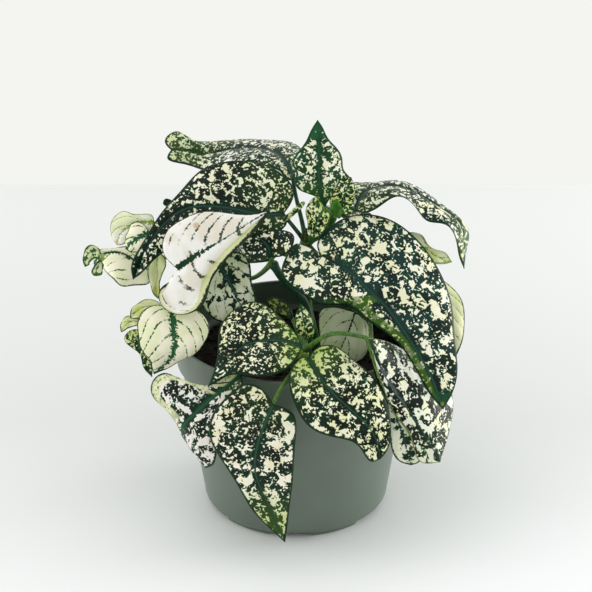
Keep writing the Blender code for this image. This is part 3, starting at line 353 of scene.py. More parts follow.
# Each leaf: a point of its plane, the way its upper side faces, its rib from base to tip and its edges as
# seen from the eye. A third number lifts a point off that plane, in mm to the upper side
leaves = {
    "leaf_top_upright": {
        "at": (325, 207, 7), "faces": (0.05, -0.95, 0.3),
        "rib": [(325, 207), (320, 188), (319, 160), (318.5, 135), (317.5, 120)],
        "left": [(313, 194), (301, 191), (295, 183), (296, 173), (292.5, 164), (299, 151), (306, 141),
                 (311, 130)],
        "right": [(333, 196), (348, 192), (351.5, 180), (344, 170), (342.5, 159), (336, 147), (328, 138),
                  (322, 126)],
        "stalk": ["crown"],
    },
    "leaf_top_left": {
        "at": (289, 171, 14), "faces": (0, -1, 0), "upper": (0, 0, 1),
        "rib": [(292, 175), (281, 156, -14), (258, 148, -26), (230, 150, -34), (205, 154, -38),
                (186, 151, -38), (171, 150, -35)],
        "left": [(297, 180, -2), (290, 181, -1), (281, 173, -3), (255, 166, -8), (228, 165, -16),
                 (205, 169, -24), (186, 165, -30), (167, 158, -32)],
        "right": [(301, 168, -6), (303, 151, -19), (289, 143, -34), (268, 142, -46), (240, 142, -54),
                  (205, 145, -56), (186, 138, -50), (177, 131, -46), (165, 142, -38)],
        "stalk": ["main", (303, 226, 9), (296, 197, 13)],
    },
    "leaf_left_large": {
        "at": (283, 214, 2), "faces": (0, -0.8, 0.6),
        "rib": [(283, 214), (262, 214, 1), (236, 209, 2), (210, 206, 2), (182, 210, 2), (164, 224, 1),
                (147, 247), (133, 279.5, -3)],
        "left": [(287, 222), (280, 231), (262, 234), (235, 240), (205, 242), (178, 246), (160, 255),
                 (142, 273)],
        "right": [(290, 205), (294, 192), (280, 172), (255, 162), (225, 162), (202, 169), (182, 189),
                  (160, 215), (143, 242), (131, 268)],
        "stalk": ["main", (297, 231, 1)],
    },
    "leaf_top_right": {
        "at": (356, 209, 6), "faces": (0, -1, 0),
        "rib": [(356, 209), (364, 193, -6), (380, 187, -10), (402, 187, -12), (424, 198, -11),
                (444, 210, -9), (460, 224, -5), (463, 242, -1), (464, 268.5, 2)],
        "left": [(351, 196, -12), (352, 183, -20), (372, 183, -24), (396, 182, -25), (420, 191, -24),
                 (442, 205, -20), (460, 219, -14), (468, 231, -9), (466, 248, -4)],
        "right": [(363, 213, 4), (376, 208, 4), (398, 198, 2), (414, 206, 2), (430, 220.5, 3),
                  (443, 224, 4), (452, 233, 4), (459, 254, 4)],
        "stalk": ["crown", (345, 213, 8)],
    },
    "leaf_right_large": {
        "at": (325, 262, -12), "faces": (0.1, -0.75, 0.65),
        "rib": [(325, 262), (347, 270, 1), (367, 288, 2), (388, 309, 2), (411, 342, 2), (430, 374, 1),
                (443, 409, -2)],
        "right": [(310, 255), (298, 243), (285, 258), (282, 275), (300, 293), (325, 305, 1), (347, 306, 1),
                  (368, 320, 1), (397, 343), (418, 374, -1), (436, 402, -2)],
        "left": [(317, 245), (329, 228), (350, 216), (372, 214), (396, 222), (418, 241), (438, 269),
                 (451, 300), (455, 340), (457, 375, -1), (450, 398, -2)],
        "stalk": ["main", (316, 253, -3)],
    },
    "leaf_white_large": {
        "at": (179, 270, -20), "faces": (0, -0.9, 0.45),
        "rib": [(179, 270), (188, 261, 1), (203, 251, 2), (217, 243, 3), (244, 226, 2), (270, 210)],
        "left": [(171, 263), (164, 254), (166, 232), (183, 219), (204, 211.5), (236, 214), (256, 214)],
        "right": [(174, 279), (166, 287), (165, 299), (174, 307), (186, 308), (196, 300), (203, 281),
                  (215, 262), (229, 247), (246, 232), (260, 219)],
        "rollRight": [(171, 281, 1), (161.5, 287, 1), (159, 301, 2), (172, 313, 2), (188, 314, 3),
                       (203, 305, 3), (210, 284, 3), (222, 265, 3), (236, 250, 3), (252, 235, 2),
                       (264, 221, 0.5)],
        "stalk": ["left_mid", (182, 275, -15)],
    },
    "leaf_white_end": {
        "at": (146, 268, 5), "faces": (0, -0.6, 0.8),
        "rib": [(146, 268, -1), (136, 262), (124, 253), (111, 252, -1), (101, 256, -4), (94, 264, -9)],
        "left": [(148, 284), (134, 285), (122, 287), (113, 279), (105, 271, -2), (101, 266, -5)],
        "right": [(140, 254, 1), (126, 247, 1), (110, 248), (99, 250, -2), (93, 254, -7)],
        "stalk": ["left_high", (160, 262, 4)],
    },
    "leaf_white_upper": {
        "at": (144, 224, 4), "faces": (-0.2, -0.85, 0.5),
        "rib": [(154, 223), (144, 222, 1), (136, 223, 1), (128, 227, 1), (121, 233), (117, 245, -3)],
        "left": [(153, 232), (146, 234), (138, 238), (130, 239), (124, 244, -2)],
        "right": [(152, 215), (142, 214), (133, 214), (124, 211), (114, 217), (111, 228, -1), (113, 240, -3)],
        "stalk": ["left_high", (164, 238, 7)],
    },
    "leaf_lime_narrow": {
        "at": (159, 253, -3), "faces": (-0.2, -0.95, 0.1),
        "rib": [(159, 251), (157, 265, -1), (158, 276, -1), (156, 286, -1), (158, 299)],
        "left": [(153, 258), (148, 272), (150, 285), (155, 296)],
        "right": [(164, 257), (166.5, 264), (163, 273), (160, 285), (160, 294)],
        "stalk": ["left_high", (163, 249, -4)],
    },
    "leaf_white_low": {
        "at": (172, 313, -24), "faces": (-0.05, -0.85, 0.5),
        "rib": [(172, 313), (173, 329, 1), (175, 343, 1), (172, 355, -2), (164, 365, -5), (154, 374, -6)],
        "right": [(160, 305), (147, 308), (138, 320), (138, 336), (142, 350), (150, 360, -2), (152, 369, -5)],
        "left": [(185, 309), (199, 311), (208, 321), (209, 334), (203, 346), (193, 356, -1), (181, 361, -4),
                 (168, 368, -6)],
        "stalk": ["left_low", (198, 307, -12), (186, 311, -19)],
    },
    "leaf_pale_middle": {
        "at": (216, 262, -4), "faces": (0, -0.9, 0.45),
        "rib": [(216, 262), (223, 271), (231, 285), (238, 300), (250, 322)],
        "left": [(230, 252), (246, 256), (251, 270), (252, 283), (256, 297), (254, 310)],
        "right": [(206, 270), (200, 290), (203, 308), (220, 322), (236, 324)],
        "stalk": ["middle", (263, 272, -2), (251, 279, 0), (237, 274, 5), (224, 265, 5)],
    },
    "leaf_curled_middle": {
        "at": (271, 257, -12), "faces": (0, -1, 0),
        "rib": [(271, 257), (268, 247, -2), (262, 240, -4), (250, 236, -6)],
        "left": [(262, 262, 3), (252, 258, 2), (244, 250), (243, 242, -4)],
        "right": [(282, 256, 2), (293, 246, 2), (294, 236), (284, 230, -3), (266, 231, -5)],
        "stalk": ["middle"],
    },
    "leaf_front_left": {
        "at": (302, 347, -43), "faces": (-0.05, -0.5, 0.87),
        "rib": [(302, 347), (287, 341.5), (260, 341), (243, 347), (228, 361), (218, 372), (208, 387, -2)],
        "left": [(298, 358), (282, 371), (264, 377), (250, 376), (234, 374), (220, 380, -1)],
        "right": [(297, 335), (286, 322), (269, 308), (251, 302), (232, 310), (220, 327), (218, 350),
                  (214, 370)],
        "stalk": ["front"],
    },
    "leaf_rim_left": {
        "at": (241, 373, -50.5), "faces": (-0.25, -0.8, 0.55),
        "rib": [(241, 373), (225, 387), (208, 401), (193, 415), (182, 429, -4), (189, 447, -10),
                (206, 468, -14)],
        "left": [(243, 385), (236, 403), (222, 428), (216, 452, -4), (214, 464, -10)],
        "right": [(228, 374, 1), (216, 381, 1), (203, 386.5), (182, 384), (166, 373, -1), (152, 381, -2),
                  (151, 394, -4), (168, 411, -6), (180, 428, -9), (191, 447, -12)],
        "stalk": ["rim", (266, 372, -45)],
    },
    "leaf_rim_hanging": {
        "at": (273, 404, -64), "faces": (0, -1, 0.15),
        "rib": [(273, 404), (262, 431), (255.5, 455), (256, 475), (264, 495), (275, 519), (285, 542)],
        "left": [(294, 415, -2), (296, 437), (294, 460), (292.5, 485), (289, 512), (287, 530)],
        "right": [(262, 389), (248, 383.5), (230, 394), (213, 413), (209.5, 436), (220, 459), (237, 484),
                  (253, 511), (271, 530)],
        "stalk": ["rim", (288, 378, -52), (279, 391, -60)],
    },
    "leaf_rim_right": {
        "at": (308, 358, -44), "faces": (0.1, -0.75, 0.65),
        "rib": [(308, 358, 1), (321, 379, 3), (337, 397, 3), (358, 416, 1), (375, 437, -1), (380, 459, -5)],
        "right": [(300, 358, 2), (291, 368, 5), (289, 387, 8), (296, 408, 6), (313, 429, 2), (337, 438, -1),
                  (360, 448, -4), (372, 462, -6)],
        "left": [(317, 348), (334, 346), (355, 360), (373, 378), (387, 402), (391, 425, -1), (390, 442, -3),
                 (384, 455, -5)],
        "stalk": ["lap"],
    },
    "leaf_right_folded": {
        "at": (368, 338, -44), "faces": (0.1, -0.95, 0.25),
        "rib": [(368, 338), (378, 365, 1), (392, 388, 1), (408, 410, 1), (424, 434, 1), (440, 462)],
        "right": [(371, 352), (378, 378), (391, 408), (408, 433, -1), (423, 463, -3)],
        "left": [(384, 341, -9), (412, 353, -20), (438, 372, -22), (453, 395, -19), (450, 428, -11),
                 (443, 452, -4)],
        "stalk": ["front", (315, 342, -40), (327, 335, -41), (340, 333, -41), (354, 335, -41)],
    },
    "leaf_right_under": {
        "at": (372, 355, -41), "faces": (0, -0.98, 0.2),
        "rib": [(372, 355), (380, 372, 2), (388, 392, 3), (396, 415, 3), (404, 440, 2), (411, 465)],
        "right": [(374, 371, 1), (381, 391, 2), (388, 414, 1), (390, 440), (400, 462)],
        "left": [(386, 370), (397, 388), (408, 408), (418, 428), (421, 448), (419, 462)],
        "stalk": ["right", (366, 300, -6), (371, 333, -27)],
    },
    "leaf_right_edge": {
        "at": (420, 285, -8), "faces": (0.2, -0.7, 0.68),
        "rib": [(420, 285), (436, 302), (449, 325), (456, 357)],
        "left": [(432, 277), (448, 283), (461, 300), (465, 320), (462, 342)],
        "right": [(418, 300), (428, 325), (445, 348)],
        "stalk": ["right", (380, 272, 8)],
    },
    "leaf_right_curly": {
        "at": (402, 240, 6), "faces": (0.2, -0.5, 0.85),
        "rib": [(402, 240), (418, 244), (434, 255, 1), (452, 262)],
        "left": [(408, 233), (420, 233), (428, 245), (444, 252), (449, 258)],
        "right": [(408, 252), (420, 262), (437, 265)],
        "stalk": ["right_high", (378, 250, 12)],
    },
    "leaf_shade": {
        "at": (355, 312, -10), "faces": (0.1, -0.95, 0.3),
        "rib": [(355, 312), (349, 330), (341, 348), (336, 362)],
        "left": [(368, 323), (369, 342), (366, 356), (350, 364)],
        "right": [(336, 307), (321, 309), (319, 330), (321, 350)],
        "stalk": ["right_low", (356, 299, 3)],
    },
}


# The leaves


leafMake = {"rows": 84, "columns": 18, "blade": 0.42 * mm, "evenRows": 0.65, "veinLean": 1.5,
            "wave": 0.8 * mm, "waves": 2.5, "crown": 0.09, "veinGap": 7.0 * mm, "archLean": 0.4,
            "archCurve": 0.9, "quilt": 0.35 * mm, "fullQuilt": 8 * mm, "fold": 0.72, "ribDip": 0.35 * mm,
            "ribHalf": 1.3 * mm, "endHalf": 0.15 * mm, "stalk": 1.0 * mm, "stalkStep": 1.2 * mm,
            "stalkSides": 12, "ridgeSunk": 0.05 * mm}
# A leaf that the front view hides: its half widths along the rib as shares of the widest, its base lobes
# as shares of that width and of a step back, and how far its edges hang
hiddenMake = {"steps": 6, "widths": (0.82, 1.0, 0.9, 0.68, 0.38), "lobe": (0.7, 0.35), "hang": 0.18}


def leafCurves(leaf):
    # the rib, the two edges and any rolled margin of a leaf, each as a list of places
    faces = unit(np.array(leaf["faces"], float))
    at = seen(leaf["at"])
    rib = [seenOnPlane(point, at, faces) for point in leaf["rib"]]
    curves = {"rib": rib}
    for name in ("left", "right", "rollRight"):
        if name in leaf:
            curves[name] = [rib[0], *[seenOnPlane(point, at, faces) for point in leaf[name]], rib[-1]]
    return curves, np.array(leaf.get("upper", leaf["faces"]), float)


def hiddenLeafCurves(leaf, node):
    # a hidden leaf leaves its node at a heading and droops evenly
    heading = math.radians(leaf["heading"])
    out = np.array([math.sin(heading), math.cos(heading), 0.0])
    side = np.array([math.cos(heading), -math.sin(heading), 0.0])
    steps = hiddenMake["steps"]
    slopes = np.radians(np.linspace(leaf["rise"], leaf["rise"] - leaf["droop"], steps))
    step = leaf["length"] * mm / steps
    start = node + out * leaf["stalk"] * mm + np.array([0, 0, leaf["lift"] * mm])
    moves = [out * math.cos(slope) * step + np.array([0, 0, math.sin(slope) * step]) for slope in slopes]
    rib = [start, *(start + np.cumsum(moves, axis=0))]
    widths = leaf["halfWidth"] * mm * np.array(hiddenMake["widths"])
    hang = np.array([0, 0, -hiddenMake["hang"]])
    lobeOut, lobeBack = hiddenMake["lobe"]
    edges = {}
    for name, sign in (("left", -1), ("right", 1)):
        lobe = rib[0] + sign * side * widths[0] * lobeOut - moves[0] * lobeBack
        edge = [place + (sign * side + hang) * width for place, width in zip(rib[1:], widths)]
        edges[name] = [rib[0], lobe, *edge, rib[-1]]
    return {"rib": rib, **edges}, np.array([0.0, 0.0, 1.0])


def bladeSurface(curves, upper):
    # A grid of two parameters: rows from base to tip lean forward like side veins, columns run from the
    # left edge over the rib to the right edge. Each half is a crowned strip between rib and edge whose
    # edge waves, as on the CAD leaf. Side veins arch forward from the rib: each keeps one value of the
    # distance along, less a share of the distance across and of its square. The blade rises a little
    # between them and dips along the rib. Beside the places it gives, in metres: across from the rib,
    # along the rib where the side vein starts, and in from the margin.
    rows, columns = leafMake["rows"], leafMake["columns"]
    even = np.linspace(0, 1, rows)
    along = leafMake["evenRows"] * even + (1 - leafMake["evenRows"]) * (1 - np.cos(math.pi * even)) / 2
    rib = smoothCurve(curves["rib"], along ** leafMake["veinLean"])
    edges = {side: smoothCurve(curves[side], along) for side in ("left", "right")}
    forward = unit(np.gradient(rib, along, axis=0))
    across = edges["right"] - edges["left"]
    across = unit(across - (across * forward).sum(1, keepdims=True) * forward)
    across[0], across[-1] = across[2], across[-3]
    normal = unit(np.cross(forward, across))
    normal *= np.sign(normal[rows // 2] @ upper)
    length = np.linalg.norm(np.diff(rib, axis=0), axis=1).sum()
    ease = (np.sin(math.pi * along).clip(0, 1) ** 0.7)[:, None]
    vein = (along * length)[:, None]
    grid = np.zeros((rows, 2 * columns + 1, 3))
    place = np.zeros((rows, 2 * columns + 1, 3))
    grid[:, columns] = rib
    place[:, columns, 1] = vein[:, 0]
    even = np.arange(1, columns + 1) / columns
    part = (1.4 * even - 0.4 * even**2)[None, :]
    for side, sign in (("left", -1), ("right", 1)):
        half = edges[side] - rib
        width = np.linalg.norm(half, axis=1)[:, None]
        slant = np.linalg.norm(np.cross(unit(half), unit(np.gradient(edges[side], axis=0))), axis=1)[:, None]
        waves = leafMake["waves"] * along[:, None] + 0.4 * (sign > 0)
        ripple = leafMake["wave"] * np.sin(math.tau * waves) * ease
        reach = width * part
        arched = vein - leafMake["archLean"] * reach - leafMake["archCurve"] * reach * part
        quilt = np.abs(np.sin(math.pi * arched / leafMake["veinGap"])) ** 0.6 - 0.6
        quilt = quilt * leafMake["quilt"] * (4 * part * (1 - part)) ** 0.5
        quilt = quilt * np.minimum(width / leafMake["fullQuilt"], 1)
        roll = curves.get("rollRight") if side == "right" else None
        if roll is None:
            flat, turned = part, np.zeros_like(part)
        else:
            flat = np.minimum(part / leafMake["fold"], 1)
            turned = np.clip((part - leafMake["fold"]) / (1 - leafMake["fold"]), 0, 1)
        lift = leafMake["crown"] * width * 4 * flat * (1 - flat) + ripple * flat**2 + quilt
        out = rib[:, None] + half[:, None] * flat[..., None] + normal[:, None] * lift[..., None]
        if roll is not None:
            beyond = smoothCurve(roll, along) - edges[side]
            out = out + beyond[:, None] * turned[..., None]
        where = slice(columns + 1, None) if sign > 0 else slice(columns - 1, None, -1)
        grid[:, where] = out
        place[:, where, 0] = sign * width * part
        place[:, where, 1] = arched
        place[:, where, 2] = width * (1 - part) * slant
    place[:, columns, 2] = np.minimum(place[:, columns - 1, 2], place[:, columns + 1, 2])
    dip = leafMake["ribDip"] * np.exp(-((place[..., 0] / leafMake["ribHalf"]) ** 2)) * ease
    grid -= normal[:, None] * dip[..., None]
    for row in (0, rows - 1):
        spread = np.linspace(-1, 1, 2 * columns + 1)[:, None] * leafMake["endHalf"]
        grid[row] = rib[row] + across[row] * spread
    down, over = np.gradient(grid, axis=0), np.gradient(grid, axis=1)
    facing = np.cross(down, over)
    facing *= np.sign(np.median(np.sign((facing[:, columns] * normal).sum(1))))
    facing = unit(facing)
    facing[0], facing[-1] = facing[1], facing[-2]
    return grid, facing, place, across, length


def sweptTube(path, radii, sides, across):
    # rings round a path, each turned just enough to stay square to it
    ways = unit(np.gradient(path, axis=0))
    side = across
    rings = []
    turn = math.tau * np.arange(sides) / sides
    for way, at, radius in zip(ways[::-1], path[::-1], radii[::-1]):
        side = unit(side - (side @ way) * way)
        up = np.cross(way, side)
        rings.append(at + radius * (np.cos(turn)[:, None] * side + np.sin(turn)[:, None] * up))
    return np.concatenate(rings[::-1])


def tubeFaces(rings, sides):
    # the quads of a tube and its two end caps as fans of quads
    cap = np.array([[k, sides - 1 - k, sides - 2 - k, k + 1] for k in range(sides // 2 - 1)])
    return np.concatenate([ringFaces(rings, sides), cap, cap[:, ::-1] + (rings - 1) * sides])


def leafBody(curves, upper, stalk, thick, seed):
    # points, faces, material slots and notes of one leaf: a thin closed blade, and its stalk that runs on
    # under it as the rib, thinner towards the tip
    grid, facing, place, across, length = bladeSurface(curves, upper)
    rows, wide = grid.shape[:2]
    columns = wide // 2
    part = np.abs(np.linspace(-1, 1, wide))[None, :]
    blade = thick / 2 * np.sqrt(np.clip(1 - part**8, 0.02, 1))
    top = grid + facing * blade[..., None]
    low = grid - facing * blade[..., None]
    rings = np.concatenate([top, low[:, ::-1]], axis=1)
    size = 2 * wide
    faces = ringFaces(rows, size)
    slots = np.tile((np.arange(size) >= wide - 1).astype(int), rows - 1)
    ends = []
    for first in (0, (rows - 1) * size):
        k = np.arange(wide - 1)
        cap = np.stack([first + k, first + k + 1, first + size - 2 - k, first + size - 1 - k], -1)
        ends.append(cap[:, ::-1] if first == 0 else cap)
    faces = np.concatenate([faces, *ends])
    slots = np.concatenate([slots, np.ones(len(ends[0]) * 2, int)])
    notes = np.concatenate([place, place[:, ::-1]], axis=1).reshape(-1, 3)
    points = rings.reshape(-1, 3)
    cells = points[faces]
    turning = np.cross(cells[:, 1], cells[:, 2]) + np.cross(cells[:, 2], cells[:, 3])
    if (cells[:, 0] * turning).sum() < 0:  # a negative volume: the blade is inside out
        faces = faces[:, ::-1]
    # the stalk and the rib's ridge under the blade
    reach = sum(np.linalg.norm(np.diff(np.array(stalk), axis=0), axis=1))
    count = max(8, round(reach / leafMake["stalkStep"]))
    if len(stalk) > 1:
        before = smoothCurve([*stalk, curves["rib"][0]], np.linspace(0, 1, count))
    else:
        before = np.linspace(stalk[0], curves["rib"][0], count)
    share = np.linspace(0, 1, rows - 1)
    thin = leafMake["stalk"] * (0.8 * (1 - share) ** 0.8 + 0.12)
    ridge = grid[1:, columns] - facing[1:, columns] * (thin - leafMake["ridgeSunk"])[:, None]
    path = np.concatenate([before, ridge])
    for _ in range(3):
        path[1:-1] = (path[:-2] + 2 * path[1:-1] + path[2:]) / 4
    neck = np.linspace(0, 1, count)
    radii = np.concatenate([leafMake["stalk"] * (1 + 0.5 * (1 - neck) ** 6 - 0.15 * neck), thin])
    sides = leafMake["stalkSides"]
    tube = sweptTube(path, radii, sides, across[1])
    tubes = tubeFaces(len(path), sides)
    points = np.concatenate([points, tube])
    faces = np.concatenate([faces, tubes + len(rings.reshape(-1, 3))])
    slots = np.concatenate([slots, np.full(len(tubes), 2)])
    fade = np.repeat(np.concatenate([np.zeros(count), share]), sides)
    onTube = np.column_stack([np.zeros(len(tube)), fade * length, np.full(len(tube), 9 * mm)])
    places = np.concatenate([notes, onTube]) / mm
    shares = np.concatenate([np.repeat(place[:, columns, 1], size) / length, fade])
    looks = np.column_stack([np.full(len(points), float(seed)), shares, (1 - shares) * length / mm])
    return points, faces, slots, {"leafPlace": places, "leafLook": looks}


# The finishes. Each is named for what it is and starts from typical values of the real thing

# Living leaf, thin and waxy: dark green cells, cream splashes where the green is missing, a green rib.
# Sizes are in mm: grain is a splash's width, ribHalf the rib's half width at its base, inkHalf that of
# the side veins drawn in green on a white leaf, plainTip the length of a tip with no splashes, and band
# the width of a stripe along the right edge. cover is how much of the leaf is cream, 0 for a half.
splashedLook = {
    "dark": "#0b2718", "deep": "#06150e", "splash": "#fbf9e4", "warm": "#f3f1d0", "halo": "#2c6234",
    "cover": -1.3, "grain": 3.3, "freckles": 0.5, "limeBase": 0.35, "limeTip": 0.0, "lime": "#c3d877",
    "rib": "#12362d", "ribLine": "#33604e", "ribHalf": 1.4, "ribJag": 0.5, "ribTaper": 0.75,
    "ink": 0.0, "inkHalf": 0.3, "inkFrom": 0.40, "margin": "#0f2d18", "marginHalf": 0.85,
    "plainTip": 0.0, "plainColour": "#15482a", "band": 0.0, "bandColour": "#3f6619",
    "bandDots": "#a9b95a", "bandShare": (0.38, 0.5), "spotOn": "", "spotAt": (0, 0), "spotHalf": 0.0,
    "spotColour": "#cdb391", "roughness": 0.36,
}
# Leaves on which the cream has taken over all but the rib and the veins, and buds with no cream at all
whiteLook = {**splashedLook, "cover": 6.0, "freckles": 0.0}
budLook = {**splashedLook, "cover": -8.0, "freckles": 0.0, "ribHalf": 0.3, "limeBase": 0.0}
leafLooks = {
    "splashed": splashedLook,
    "teal": {**splashedLook, "dark": "#11372f", "deep": "#08201a", "grain": 4.3, "cover": -0.7,
             "limeBase": 0.15, "ribHalf": 1.6, "plainTip": 5.0, "band": 4.4, "bandDots": "#c3cd72",
             "spotOn": "leaf_right_large", "spotAt": (443, 404, 0), "spotHalf": 1.9,
             "spotColour": "#8f9a30"},
    "upright": {**splashedLook, "dark": "#1a4a2c", "deep": "#123d22", "halo": "#4d8433", "grain": 2.7,
                "cover": -0.5, "plainTip": 6.0, "plainColour": "#1c5a30", "limeBase": 1.2,
                "rib": "#184527", "ribHalf": 1.0, "ribLine": "#2b6440", "margin": "#17482a"},
    # the leaf's deep green is greyed to stand in for the sheen of the bright studio: painted sheen on the two
    # top leaves
    "limeTip": {**splashedLook, "grain": 2.4, "splash": "#eeeee0", "deep": "#22302b", "cover": -0.8,
                "limeTip": 0.5, "limeBase": 0.4, "halo": "#3c7034", "lime": "#e4edc4"},
    "lap": {**splashedLook, "splash": "#f6f5d6", "warm": "#eeefc0", "cover": -1.0, "limeBase": 1.0,
            "rib": "#143c28", "ribHalf": 1.15, "ribTaper": 0.9, "grain": 2.5},
    "front": {**splashedLook, "splash": "#f8f6d6", "warm": "#eeefc0", "cover": -0.6, "limeBase": 0.95,
              "rib": "#143c28", "ribHalf": 1.15, "ribTaper": 0.85, "grain": 2.9},
    "hanging": {**splashedLook, "splash": "#f8f4e0", "warm": "#f3ebce", "cover": -0.45, "grain": 3.8,
                "rib": "#16402a", "ribHalf": 1.2, "ribTaper": 0.9, "limeBase": 0.2, "limeTip": 0.6},
    "curled": {**splashedLook, "splash": "#efece5", "warm": "#ebe5dc", "cover": -0.3, "grain": 4.2,
               "rib": "#184a2a", "ribHalf": 1.9, "limeBase": 0.5, "band": 5.6, "bandColour": "#dce0ae",
               "bandDots": "#4f7a2a", "bandShare": (0.8, 0.62)},
    # the folded leaf's dark and deep greens are near black all over: painted shade
    "folded": {**splashedLook, "dark": "#091a12", "deep": "#040c08", "splash": "#eeefe0", "grain": 5.0,
               "cover": -0.4, "margin": "#6b7f42", "marginHalf": 0.4, "limeBase": 0.2, "limeTip": 0.12},
    "pale": {**splashedLook, "splash": "#e6e9d0", "warm": "#d2d8b4", "cover": 1.2, "grain": 3.6,
             "freckles": 0.2, "ribHalf": 2.2, "ribJag": 1.2, "ribTaper": 0.9, "ink": 0.6,
             "inkHalf": 0.35},
    "shoot": {**splashedLook, "dark": "#173c1b", "splash": "#e7eabd", "warm": "#cfdb8c", "cover": -0.6,
              "grain": 1.8, "ribHalf": 0.4, "rib": "#2c6a26", "limeBase": 0.8, "margin": "#24501c",
              "marginHalf": 0.3, "halo": "#5f9434"},
    # the shoot look with darker greens and a dimmed cream: painted shade over this whole shoot
    "shootInShade": {**splashedLook, "dark": "#1a2c12", "splash": "#7c8a3e", "warm": "#65742c", "cover": -0.9,
              "grain": 2.2, "ribHalf": 0.4, "rib": "#24401a", "margin": "#16260f", "halo": "#4d6a26"},
    "curlEnd": {**splashedLook, "splash": "#dde0b8", "warm": "#d3d8a4", "cover": 1.0, "grain": 2.4,
                "freckles": 0.0, "dark": "#3c6a2c", "deep": "#2c5524", "rib": "#35622a",
                "ribHalf": 0.4, "margin": "#2f5a22", "marginHalf": 0.8, "limeBase": 0.0},
    "white": {**whiteLook, "splash": "#f9f8f1", "warm": "#ece6d6", "rib": "#123820", "ribHalf": 2.5,
              "ribJag": 1.0, "ribTaper": 1.5, "ribLine": "#1d4a2a", "ink": 0.95, "inkHalf": 0.5,
              "inkFrom": 0.445, "band": 1.5, "bandColour": "#d6dc9e", "bandShare": (-0.1, 0.0),
              "margin": "#1c2a16", "marginHalf": 0.36, "limeBase": 0.0,
              "spotOn": "leaf_white_large", "spotAt": (196.5, 226, 1.4), "spotHalf": 2.2},
    "cream": {**whiteLook, "splash": "#faf7dc", "warm": "#ecefc6", "rib": "#1c5a30", "ribHalf": 1.8,
              "ribJag": 1.6, "ribTaper": 0.6, "ink": 1.0, "inkHalf": 0.36, "margin": "#15240f",
              "marginHalf": 0.45, "limeBase": 0.12},
    "limeVeined": {**whiteLook, "splash": "#e9ebcc", "warm": "#d5dd9c", "rib": "#7d9c2f",
                   "ribHalf": 1.1, "ribJag": 1.0, "ink": 0.9, "margin": "#8ba052", "limeBase": 0.3,
                   "ribLine": "#a9bf5a"},
    "browned": {**whiteLook, "splash": "#f2f1e6", "warm": "#e4e8c0", "rib": "#7d9c2f", "ribHalf": 1.1,
                "ribJag": 1.0, "ink": 0.9, "margin": "#5f7a30", "marginHalf": 0.45, "limeBase": 0.3,
                "ribLine": "#a9bf5a", "spotOn": "leaf_white_upper", "spotAt": (118, 243, -3),
                "spotHalf": 2.0},
    "lime": {**whiteLook, "splash": "#e9ebb9", "warm": "#cdd67c", "rib": "#3c6a20", "ribHalf": 0.35,
             "ribJag": 0.3, "ribTaper": 0.6, "ink": 0.7, "inkHalf": 0.24, "margin": "#2f541c",
             "marginHalf": 0.4, "limeBase": 0.2},
    "limeEdge": {**whiteLook, "splash": "#e9ebc0", "warm": "#dfe4ac", "rib": "#2c4f1e", "ribHalf": 0.4,
                 "ink": 0.8, "inkHalf": 0.26, "margin": "#17301a", "marginHalf": 0.6, "limeBase": 0.1},
    "shade": {**whiteLook, "splash": "#e4ebc9", "warm": "#d3dfb4", "rib": "#101c10",
              "ribLine": "#22351e", "ribHalf": 0.5, "ribJag": 0.6, "ink": 0.9, "inkHalf": 0.22,
              "margin": "#0e1c0e", "marginHalf": 0.5, "limeBase": 0.0},
    "bud": {**budLook, "dark": "#305a12", "deep": "#294e10", "rib": "#2f6b10", "ribLine": "#4f8f22",
            "margin": "#3a7a18"},
    "brownBud": {**budLook, "dark": "#566026", "deep": "#47521f", "rib": "#55502a",
                 "ribLine": "#6d6a3a", "margin": "#2f3a18"},
}
# The lower side of a leaf is matt and paler, and its pattern shows through only faintly
underLook = {
    "dark": "#5e7a52", "deep": "#4d6a48", "splash": "#a9b78e", "warm": "#9fae86", "halo": "#7b9468",
    "rib": "#6f9455", "ribLine": "#8fae72", "ribHalf": 0.7, "ribJag": 0.1, "margin": "#3d5a30",
    "roughness": 0.58, "lime": "#c9d890",
}
# What all leaves share. Bump widths of the three fields are in mm. The splash field runs from 0 to 1 and
# turns cream above a level; coverStep moves that level, and the pulls lower the field on the rib, on the
# side veins and in a plain tip
leafPattern = {
    "shadeWidth": 9, "raggedWidth": 0.9, "freckleWidth": 1.15, "coverStep": 0.05, "creamEdge": 0.012,
    "haloReach": 0.03, "ribPull": -0.05, "veinPull": -0.018, "tipPull": -0.3, "tipRagged": 14.0,
    "warmFrom": 0.44, "warmTo": 0.60, "youngGreen": "#78aa34", "youngShare": 0.26, "thinRib": 0.12,
    "cells": 1.5, "relief": 0.12 * mm,
}


